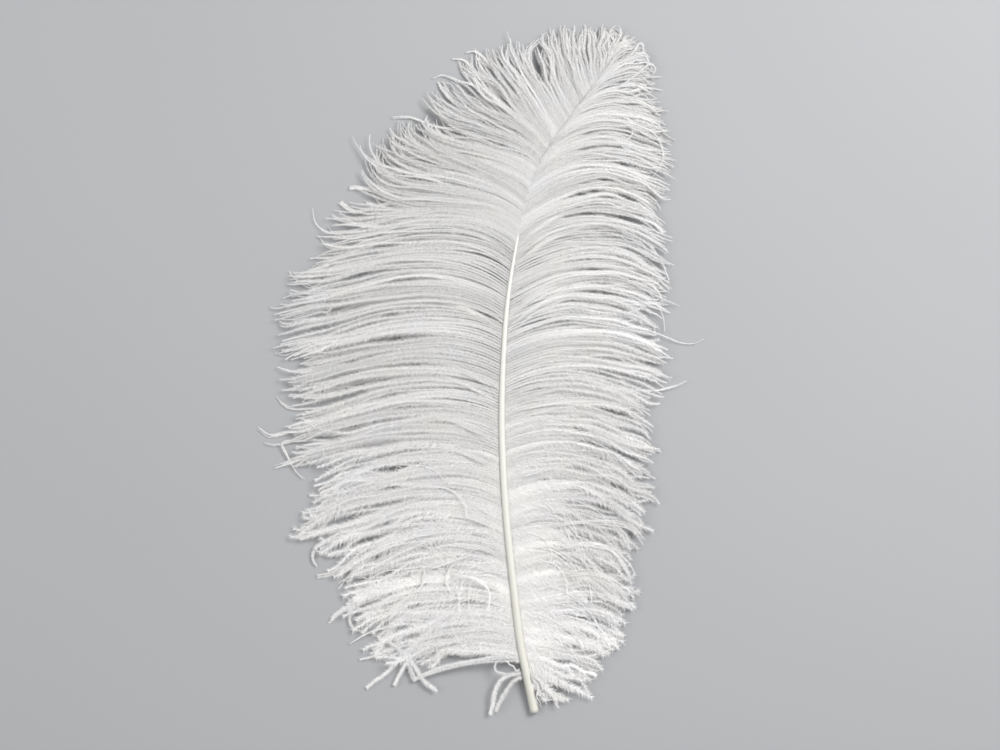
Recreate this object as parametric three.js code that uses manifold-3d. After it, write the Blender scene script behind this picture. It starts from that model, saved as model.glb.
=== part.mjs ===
// A white ostrich plume, lying on its underside on a flat surface.
//
// Millimetres, +Z up. +Y runs from the cut end of the quill to the curled tip, and +X is the
// side of the right vane. The origin is on the surface, under the middle of the plume's box.
//
// The plume grew as one piece, so it is one solid: a tapering shaft and the soft locks of its
// two vanes, fused where they meet. Each lock leaves the shaft upwards, arches over and comes
// down to the surface, where its underside is flat.

import * as THREE from 'three';
import { mergeVertices } from 'three/addons/utils/BufferGeometryUtils.js';
import Module from 'manifold-3d';

// The shaft.
const QUILL_DIAMETER = 6.0;
const SHAFT_END_DIAMETER = 1.4;
const SHAFT_SIDES = 8;
const SHAFT_STEPS = 22;

// The locks have a flat underside and a ridge on top. Their thickness is that of the ridge.
const ROOT_THICKNESS = 1.7;
const BELLY_THICKNESS = 1.9;
const TIP_THICKNESS = 0.8;
const LOCK_SIDES = 3;
const LOCK_STEP_LENGTH = 20;
const LOCK_STEPS = [3, 7];

// The breadth of a lock: how far it passes the distance to its neighbours, the largest distance
// that it fills, where it is broadest, and what is left of it at the root and at the tip.
const OVERLAP = 1.36;
const ROOM_LIMIT = 19;
const BELLY = 0.6;
const ROOT_BREADTH = 0.85;
const TIP_BREADTH = 0.12;

// Where a lock starts to narrow along its length, and how sharply: a thin wisp, a full lock.
const TAPER_START = [0.3, 0.74];
const TAPER_POWER = [2.6, 0.75];

// How a lock arches: the reach of its handles as a share of its length, how far it rises over
// its root and presses down outside, and how far every second lock lies over the ones beside it.
const ROOT_HANDLE = 0.36;
const TIP_HANDLE = 0.34;
const ARCH_RISE = 1.12;
const OUTER_PRESS = -4.0;
const LAYER_STEP = 0.9;

// The middle line of the shaft, from the cut end of the quill: x, y and z.
const SHAFT_LINE = [
  [36.2, -229.4, 2.9],
  [27.3, -186.3, 8.6],
  [23.0, -153.7, 12.4],
  [17.0, -96.3, 17.6],
  [14.4, -47.0, 20.4],
  [14.7, -4.3, 21.6],
  [17.7, 42.3, 21.2],
  [24.0, 83.7, 19.2],
  [32.4, 119.0, 16.4],
  [43.0, 142.5, 13.8],
  [56.5, 161.5, 11.0],
  [73.0, 182.5, 7.8],
  [90.0, 203.5, 4.6],
];

// The direction in which a lock leaves the shaft, in degrees above the horizontal: y of the
// root, the left vane, the right vane.
const LEAVING_ANGLES = [
  [-210, 16, -52],
  [-195, 18, -22],
  [-170, 24, 2],
  [-140, 30, 16],
  [-100, 32, 26],
  [-50, 27, 25],
  [0, 28, 28],
  [50, 42, 38],
  [100, 52, 46],
  [130, 58, 50],
  [160, 68, 50],
  [190, 82, 52],
  [206, 94, 58],
];

// The locks of each vane, from the tip of the plume down: y of the root, x and y of the tip,
// the heading at the tip in degrees from +X, and the fullness, from 0 for a wisp to 1.
const LEFT_LOCKS = [
  [202, 91, 230, 82, 1],
  [191, 80, 229.5, 90, 1],
  [180, 69, 229, 90, 1],
  [168, 57, 229, 82, 1],
  [156, 44, 228, 76, 1],
  [145, 30, 221, 80, 0.9],
  [136, 18, 221, 88, 1],
  [127, 1, 214, 104, 1],
  [118, -16, 205, 130, 1],
  [110, -32, 194, 134, 0.9],
  [103, -46, 172, 118, 0.9],
  [96, -62, 160, 94, 1],
  [88, -74, 141, 96, 1],
  [81, -87, 122, 178, 0.35],
  [75, -97, 113, 142, 0.35],
  [67, -105, 107, 148, 1],
  [56, -110, 77, 206, 1],
  [45, -129, 62, 148, 0.9],
  [34, -137, 42, 156, 0.9],
  [22, -136, 24, 170, 0.9],
  [9, -136, 4, 190, 1],
  [-5, -131, -23, 188, 1],
  [-19, -149.5, -39.5, 166, 0.8],
  [-33, -144, -52, 206, 0.8],
  [-47, -134, -69, 212, 1],
  [-61, -116, -86, 206, 1],
  [-75, -122, -100, 196, 0.9],
  [-89, -131, -108, 178, 0.8],
  [-103, -112, -129, 232, 1],
  [-118, -97, -142, 206, 0.9],
  [-133, -99, -166, 216, 0.9],
  [-148, -86, -182, 212, 1],
  [-163, -79, -197, 204, 0.9],
  [-177, -74, -213, 222, 0.6],
  [-191, -33, -212, 258, 0.8],
  [-205, 8, -230.5, 256, 0.4],
];
const RIGHT_LOCKS = [
  [196, 104, 218, -18, 1],
  [184, 114, 208, -38, 1],
  [172, 117, 189, -48, 1],
  [160, 123, 173, -20, 1],
  [148, 130, 156, -20, 1],
  [136, 129, 142, -12, 1],
  [123, 131, 127, -18, 1],
  [110, 127, 110, -22, 1],
  [97, 127, 95, -42, 1],
  [84, 127, 81, -42, 1],
  [71, 129, 69, -44, 1],
  [58, 129, 56, -40, 1],
  [44, 130, 44, -30, 1],
  [30, 121, 29, -42, 1],
  [18, 150, 20.5, 14, 0],
  [8, 131, 6, -46, 1],
  [-5, 126, -6, -24, 1],
  [-19, 117, -24, -34, 1],
  [-34, 118, -48, -58, 1],
  [-50, 118, -61, -24, 1],
  [-66, 115, -79, -34, 1],
  [-82, 117, -100, -60, 1],
  [-98, 107, -116, -46, 1],
  [-114, 104, -133, -10, 1],
  [-130, 111, -155, -16, 0.9],
  [-146, 98, -174, -40, 1],
  [-161, 91, -188, -38, 1],
  [-175, 82, -205, -44, 1],
  [-188, 63, -219, -36, 1],
  [-202, 47, -225, -62, 0.8],
];

// A box that takes away what would reach below the surface, and the smallest step that is kept
// where locks cross each other.
const TRIM_SPAN = 700;
const TRIM_DEPTH = 60;
const SMALLEST_STEP = 0.08;

const wasm = await Module();
wasm.setup();

const shaftCurve = new THREE.CatmullRomCurve3(SHAFT_LINE.map((point) => new THREE.Vector3(...point)));
const shaftPoints = shaftCurve.getSpacedPoints(300);

function between(rows, y, column) {
  if (y <= rows[0][0]) return rows[0][column];
  for (let i = 1; i < rows.length; i += 1) {
    if (y > rows[i][0]) continue;
    const share = (y - rows[i - 1][0]) / (rows[i][0] - rows[i - 1][0]);
    return THREE.MathUtils.lerp(rows[i - 1][column], rows[i][column], share);
  }
  return rows[rows.length - 1][column];
}

function shaftPointAt(y) {
  return shaftPoints.find((point) => point.y >= y) ?? shaftPoints[shaftPoints.length - 1];
}

// Bends a cylinder of radius 1 and height 1 along a curve. Its x becomes the breadth, level with
// the surface, and its z the height over the curve.
function bendAlong(cylinder, curve, halfBreadth, ridge) {
  const position = cylinder.getAttribute('position');
  const upwards = new THREE.Vector3(0, 0, 1);
  for (let i = 0; i < position.count; i += 1) {
    const share = position.getY(i) + 0.5;
    const tangent = curve.getTangent(share);
    const across = new THREE.Vector3().crossVectors(tangent, upwards).normalize();
    const over = new THREE.Vector3().crossVectors(across, tangent);
    const point = curve.getPoint(share);
    point.addScaledVector(across, position.getX(i) * halfBreadth(share));
    point.addScaledVector(over, position.getZ(i) * ridge(share));
    position.setXYZ(i, point.x, point.y, point.z);
  }
  return cylinder;
}

function solidOf(geometry) {
  const bare = geometry.clone();
  bare.deleteAttribute('normal');
  bare.deleteAttribute('uv');
  const merged = mergeVertices(bare);
  return new wasm.Manifold(new wasm.Mesh({
    numProp: 3,
    vertProperties: new Float32Array(merged.getAttribute('position').array),
    triVerts: new Uint32Array(merged.getIndex().array),
  }));
}

function geometryOf(solid) {
  const mesh = solid.getMesh();
  const geometry = new THREE.BufferGeometry();
  geometry.setAttribute('position', new THREE.BufferAttribute(new Float32Array(mesh.vertProperties), 3));
  geometry.setIndex(new THREE.BufferAttribute(new Uint32Array(mesh.triVerts), 1));
  geometry.computeVertexNormals();
  return geometry;
}

function makeShaft() {
  const radius = (share) => THREE.MathUtils.lerp(QUILL_DIAMETER, SHAFT_END_DIAMETER, share) / 2;
  const cylinder = new THREE.CylinderGeometry(1, 1, 1, SHAFT_SIDES, SHAFT_STEPS);
  return solidOf(bendAlong(cylinder, shaftCurve, radius, radius));
}

// The path of one lock: side is -1 for the left vane and 1 for the right one.
function lockPath([rootY, tipX, tipY, heading], side, layer) {
  const root = shaftPointAt(rootY).clone();
  const tip = new THREE.Vector3(tipX, tipY, TIP_THICKNESS / 2);
  const length = root.distanceTo(tip);
  const leaving = THREE.MathUtils.degToRad(between(LEAVING_ANGLES, rootY, side < 0 ? 1 : 2));
  const arriving = THREE.MathUtils.degToRad(heading);
  const rootHandle = new THREE.Vector3(
    root.x + side * Math.cos(leaving) * length * ROOT_HANDLE,
    root.y + Math.sin(leaving) * length * ROOT_HANDLE,
    root.z * ARCH_RISE + layer * LAYER_STEP,
  );
  const tipHandle = new THREE.Vector3(
    tip.x - Math.cos(arriving) * length * TIP_HANDLE,
    tip.y - Math.sin(arriving) * length * TIP_HANDLE,
    OUTER_PRESS + layer * LAYER_STEP,
  );
  return new THREE.CubicBezierCurve3(root, rootHandle, tipHandle, tip);
}

function makeLock(path, breadth, fullness) {
  const taperStart = THREE.MathUtils.lerp(...TAPER_START, fullness);
  const taperPower = THREE.MathUtils.lerp(...TAPER_POWER, fullness);
  const halfBreadth = (share) => {
    const opening = THREE.MathUtils.lerp(ROOT_BREADTH, 1, Math.min(share / BELLY, 1));
    const left = Math.min((1 - share) / (1 - taperStart), 1);
    return breadth / 2 * opening * THREE.MathUtils.lerp(TIP_BREADTH, 1, left ** taperPower);
  };
  const ridge = (share) => (share < BELLY
    ? THREE.MathUtils.lerp(ROOT_THICKNESS, BELLY_THICKNESS, share / BELLY)
    : THREE.MathUtils.mapLinear(share, BELLY, 1, BELLY_THICKNESS, TIP_THICKNESS));
  const steps = THREE.MathUtils.clamp(Math.round(path.getLength() / LOCK_STEP_LENGTH), ...LOCK_STEPS);
  const cylinder = new THREE.CylinderGeometry(1, 1, 1, LOCK_SIDES, steps);
  return solidOf(bendAlong(cylinder, path, halfBreadth, ridge));
}

// A lock is as broad as the room that its neighbours leave it, measured at its belly.
function makeVane(rows, side) {
  const paths = rows.map((row, i) => lockPath(row, side, i % 2));
  const bellies = paths.map((path) => path.getPoint(BELLY));
  return paths.map((path, i) => {
    const before = bellies[Math.max(i - 1, 0)];
    const after = bellies[Math.min(i + 1, bellies.length - 1)];
    const steps = i > 0 && i < bellies.length - 1 ? 2 : 1;
    const room = before.distanceTo(after) / steps;
    return makeLock(path, Math.min(room, ROOM_LIMIT) * OVERLAP, rows[i][4]);
  });
}

function makeTrim() {
  const box = new THREE.BoxGeometry(TRIM_SPAN, TRIM_SPAN, TRIM_DEPTH);
  return solidOf(box.translate(0, 0, -TRIM_DEPTH / 2));
}

// Closed bubbles between crossing locks are filled: only the outer shell is kept.
function makeFeather() {
  const locks = [...makeVane(LEFT_LOCKS, -1), ...makeVane(RIGHT_LOCKS, 1)];
  const fused = locks.reduce((solid, lock) => solid.add(lock), makeShaft());
  const lying = fused.subtract(makeTrim()).simplify(SMALLEST_STEP);
  const shells = lying.decompose().sort((a, b) => b.volume() - a.volume());
  return geometryOf(shells[0]);
}

const feather = new THREE.Mesh(
  makeFeather(),
  new THREE.MeshStandardMaterial({ color: 0xe9e6e0, roughness: 0.85, metalness: 0 }),
);
feather.name = 'feather';

const plume = new THREE.Group();
plume.add(feather);

export default plume;
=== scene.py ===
"""A white ostrich plume lying on a pale floor: an ivory shaft and two loose, fluffy vanes.

The vanes are combed by listed guides. Every barb runs from the shaft to a tip, its path is
blended from the two guides beside it, and Geometry Nodes clothe the path with a thin ramus and
two rows of soft barbules. Lengths in the tables are millimetres and angles degrees; +Y runs to
the tip of the plume, +X to the right vane and +Z up from the floor.
"""

import math
from collections import namedtuple

import bpy
import numpy as np
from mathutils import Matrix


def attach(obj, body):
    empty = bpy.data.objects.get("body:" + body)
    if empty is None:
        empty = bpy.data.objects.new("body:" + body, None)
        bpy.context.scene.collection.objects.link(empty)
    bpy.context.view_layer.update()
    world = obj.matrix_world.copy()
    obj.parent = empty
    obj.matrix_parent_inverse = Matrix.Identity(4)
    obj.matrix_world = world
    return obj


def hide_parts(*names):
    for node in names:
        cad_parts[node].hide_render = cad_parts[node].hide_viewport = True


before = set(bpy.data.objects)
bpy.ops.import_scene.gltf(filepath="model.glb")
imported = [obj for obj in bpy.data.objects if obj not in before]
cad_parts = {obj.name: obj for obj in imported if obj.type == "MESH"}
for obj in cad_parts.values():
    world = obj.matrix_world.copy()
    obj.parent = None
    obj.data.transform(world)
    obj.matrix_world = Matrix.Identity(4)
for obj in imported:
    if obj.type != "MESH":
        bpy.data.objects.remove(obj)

bl_info = {
    "name": "Ostrich Plume",
    "version": (1, 0, 0),
    "blender": (4, 5, 0),
    "location": "3D View > Sidebar > Plume",
    "description": "Builds a white ostrich plume with barbs and barbules on a studio floor",
    "category": "Object",
}

MM = 0.001
BODY = "root"
NODE = "feather"

# The middle line of the shaft from the cut end of the quill: x, y, z.
SHAFT_LINE = [
    (36.2, -229.4, 2.9),
    (27.3, -186.3, 8.6),
    (23.0, -153.7, 12.4),
    (17.0, -96.3, 17.6),
    (14.4, -47.0, 20.4),
    (14.7, -4.3, 21.6),
    (17.7, 42.3, 21.2),
    (24.0, 83.7, 19.0),
    (32.4, 119.0, 15.6),
    (43.0, 142.5, 12.8),
    (56.5, 161.5, 10.0),
    (73.0, 182.5, 6.9),
    (90.0, 203.5, 3.9),
]

# How broad the shaft is: y, breadth.
SHAFT_BREADTH = [(-230, 6.0), (-180, 5.2), (-47, 4.3), (42, 3.0), (80, 2.0), (120, 1.4), (204, 0.7)]

# How the barbs run, by the y of their root: the angle at which they leave the shaft, above level,
# on the left and on the right, the heading of their outer half, from +X, left and right, and how
# long their tips bend, as a share of the length, left and right.
BARB_RUN = [
    (-210, 16, -52, 215, -25, 0.18, 0.18),
    (-190, 18, -20, 215, -25, 0.18, 0.18),
    (-170, 24, 2, 214, -27, 0.18, 0.18),
    (-140, 30, 16, 211, -30, 0.18, 0.18),
    (-100, 32, 26, 205, -40, 0.18, 0.18),
    (-50, 27, 25, 200, -25, 0.16, 0.16),
    (0, 28, 26, 195, -24, 0.16, 0.16),
    (50, 38, 30, 197, -36, 0.16, 0.16),
    (75, 43, 33, 193, -38, 0.16, 0.16),
    (88, 46, 36, 188, -38, 0.18, 0.17),
    (95, 47, 38, 190, -37, 0.3, 0.18),
    (106, 48, 40, 188, -34, 0.31, 0.18),
    (115, 49, 44, 177, -31, 0.24, 0.18),
    (130, 54, 50, 158, -27, 0.19, 0.18),
    (138, 56, 53, 160, -25, 0.22, 0.2),
    (145, 58, 55, 140, -23, 0.18, 0.2),
    (155, 61, 58, 126, -20, 0.16, 0.2),
    (165, 63, 61, 112, -14, 0.16, 0.2),
    (175, 66, 62, 104, -4, 0.16, 0.22),
    (185, 70, 63, 99, 14, 0.16, 0.22),
    (200, 88, 64, 95, 55, 0.16, 0.2),
    (206, 94, 65, 95, 60, 0.16, 0.2),
]

# How closely the roots stand by y, left and right: where the vane fans out, more barbs fill it.
BARB_CROWDING = [
    (-230, 1.0, 1.0),
    (80, 1.0, 1.0),
    (86, 1.8, 1.1),
    (94, 3.1, 1.25),
    (110, 3.1, 1.35),
    (130, 2.5, 1.5),
    (150, 2.8, 1.8),
    (180, 2.3, 2.3),
    (204, 2.0, 2.3),
]

# Reach of the barbules by y: in the left vane, in the right vane, and beside the shaft as a share
# of that, left and right.
BARBULE_REACH = [
    (-230, 4.1, 4.2, 0.85, 1.05),
    (-150, 4.2, 4.3, 0.75, 1.05),
    (-80, 4.1, 4.0, 0.5, 0.95),
    (-20, 3.8, 3.5, 0.34, 0.46),
    (15, 3.6, 3.1, 0.26, 0.34),
    (40, 3.1, 2.9, 0.24, 0.28),
    (85, 2.6, 2.4, 0.28, 0.38),
    (105, 2.5, 2.2, 0.44, 0.85),
    (150, 2.4, 2.0, 0.74, 0.95),
    (205, 1.9, 1.8, 0.8, 1.0),
]

# The locks that the barbs gather into, from the bottom up: y of the root, x and y of the tip, and
# the heading of the tip, from +X.
LEFT_GUIDES = [
    (-195, -30, -197, 202), (-190, -40, -198, 214), (-184, -54, -197, 206), (-178, -67, -195, 200),
    (-171, -77, -189, 190), (-164, -82, -181, 206), (-156, -84, -172, 226), (-148, -96, -164, 214),
    (-140, -86, -154, 160), (-132, -82, -146, 206), (-124, -92, -141, 216), (-116, -106, -137, 190),
    (-108, -106, -119, 200), (-100, -118, -115, 186), (-92, -131, -105, 156), (-84, -119, -99, 206),
    (-76, -111, -90, 226), (-68, -115, -84, 196), (-60, -122, -70, 206), (-52, -136, -65, 218),
    (-44, -124, -55, 176), (-36, -132, -47, 200), (-28, -131, -38, 176), (-21, -128, -29, 170),
    (-14, -134, -20, 190), (-10.5, -128, -12, 186), (-7, -133, -4, 140),
    (0, -137, -4, 146), (8, -123, 6, 170),
    (16, -132, 6, 222), (24, -136, 11, 200), (32, -138, 34, 132), (39, -138, 42, 150),
    (45, -130, 39, 218), (51, -130, 58, 134), (57, -129, 64, 142), (64, -115, 58, 218),
    (70, -112, 70, 212), (75, -109, 80, 194), (79, -108, 91, 118), (83, -101, 95, 150),
    (87, -105, 106, 146), (91, -88, 108.5, 166), (94, -72, 124, 122),
    (95.5, -75, 132, 100), (97, -75, 140, 92),
    (100, -72, 148, 82), (103, -67, 156, 74), (106, -60, 164, 78), (110, -54, 170, 72),
    (115, -50, 171, 82), (119, -44, 163, 84), (123, -30, 158, 70), (127, -36, 168, 60),
    (130, -34, 170, 52), (133, -26, 166, 80), (137, -38, 184, 114), (140, -33, 189, 110),
    (143, -27, 194, 150), (145, -17, 203, 134), (147, -9, 208, 134), (149, 1, 214, 104),
    (151, 11, 217, 96), (154, 18, 219, 86), (157, 24, 223, 88), (160, 29, 220, 82),
    (166, 41, 219, 92), (169, 44, 229, 74), (173, 50, 227, 68), (177, 56, 230, 64),
    (181, 61, 229, 78), (184, 66, 227, 84), (187, 73, 229, 84), (190, 77, 229, 90),
    (193, 81, 230, 92), (196, 86, 229, 95), (199, 91, 229.5, 100),
]
RIGHT_GUIDES = [
    (-206, 44, -219, -60), (-203, 52, -221, -50), (-199, 62, -219, -30), (-194, 74, -214, -6),
    (-188, 81, -205, -30), (-182, 92, -193, -12), (-175, 92, -185, -20), (-168, 98, -176, -14),
    (-161, 95, -170, -66), (-154, 103, -156, -26), (-147, 109, -156, -14), (-140, 107, -150, 6),
    (-132, 99, -147, -20), (-124, 107, -134, 16), (-116, 96, -137, -50), (-107, 101, -121, -64),
    (-98, 106, -111, -42), (-90, 116, -108, -54), (-82, 107, -92, -42), (-74, 117, -95, -66),
    (-66, 115, -77, -20), (-58, 110, -66, -30), (-50, 117, -61, -14), (-42, 118, -54, -30),
    (-34, 118, -47, -62), (-26, 113, -30, -40), (-18, 114, -22, 20), (-10, 126, -12, 10),
    (-3, 126, -6, -10), (4, 124, 1, -40), (11, 130, 6, -50), (18, 122, 14, -30),
    (25, 115, 24, -90), (31, 121, 30, -16), (38, 130, 42, -20), (45, 127, 49, -50),
    (52, 129, 52, -24), (59, 127, 57, -54), (65, 127, 62, -56), (71, 130, 66, -34),
    (77, 127, 77, -36), (83, 130, 83, -8), (89, 124, 89, -70), (95, 127, 97, -34),
    (100, 122, 106, -50), (105, 127, 112, -30), (110, 129, 118, 20), (115, 128, 122, 14),
    (120, 131, 126, -18), (125, 130, 134, -30), (130, 129, 140, -4), (135, 127, 146, 24),
    (140, 129, 152, -18), (145, 129, 157, 6), (150, 123, 161, -44), (156, 123, 170, 16),
    (162, 120, 177, -34), (168, 117, 185, -40), (174, 114, 192, -56), (180, 116, 202, -76),
    (186, 111, 211, 6), (191, 107, 216, -50), (196, 102, 220, 30), (201, 97, 224, 60),
]

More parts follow.
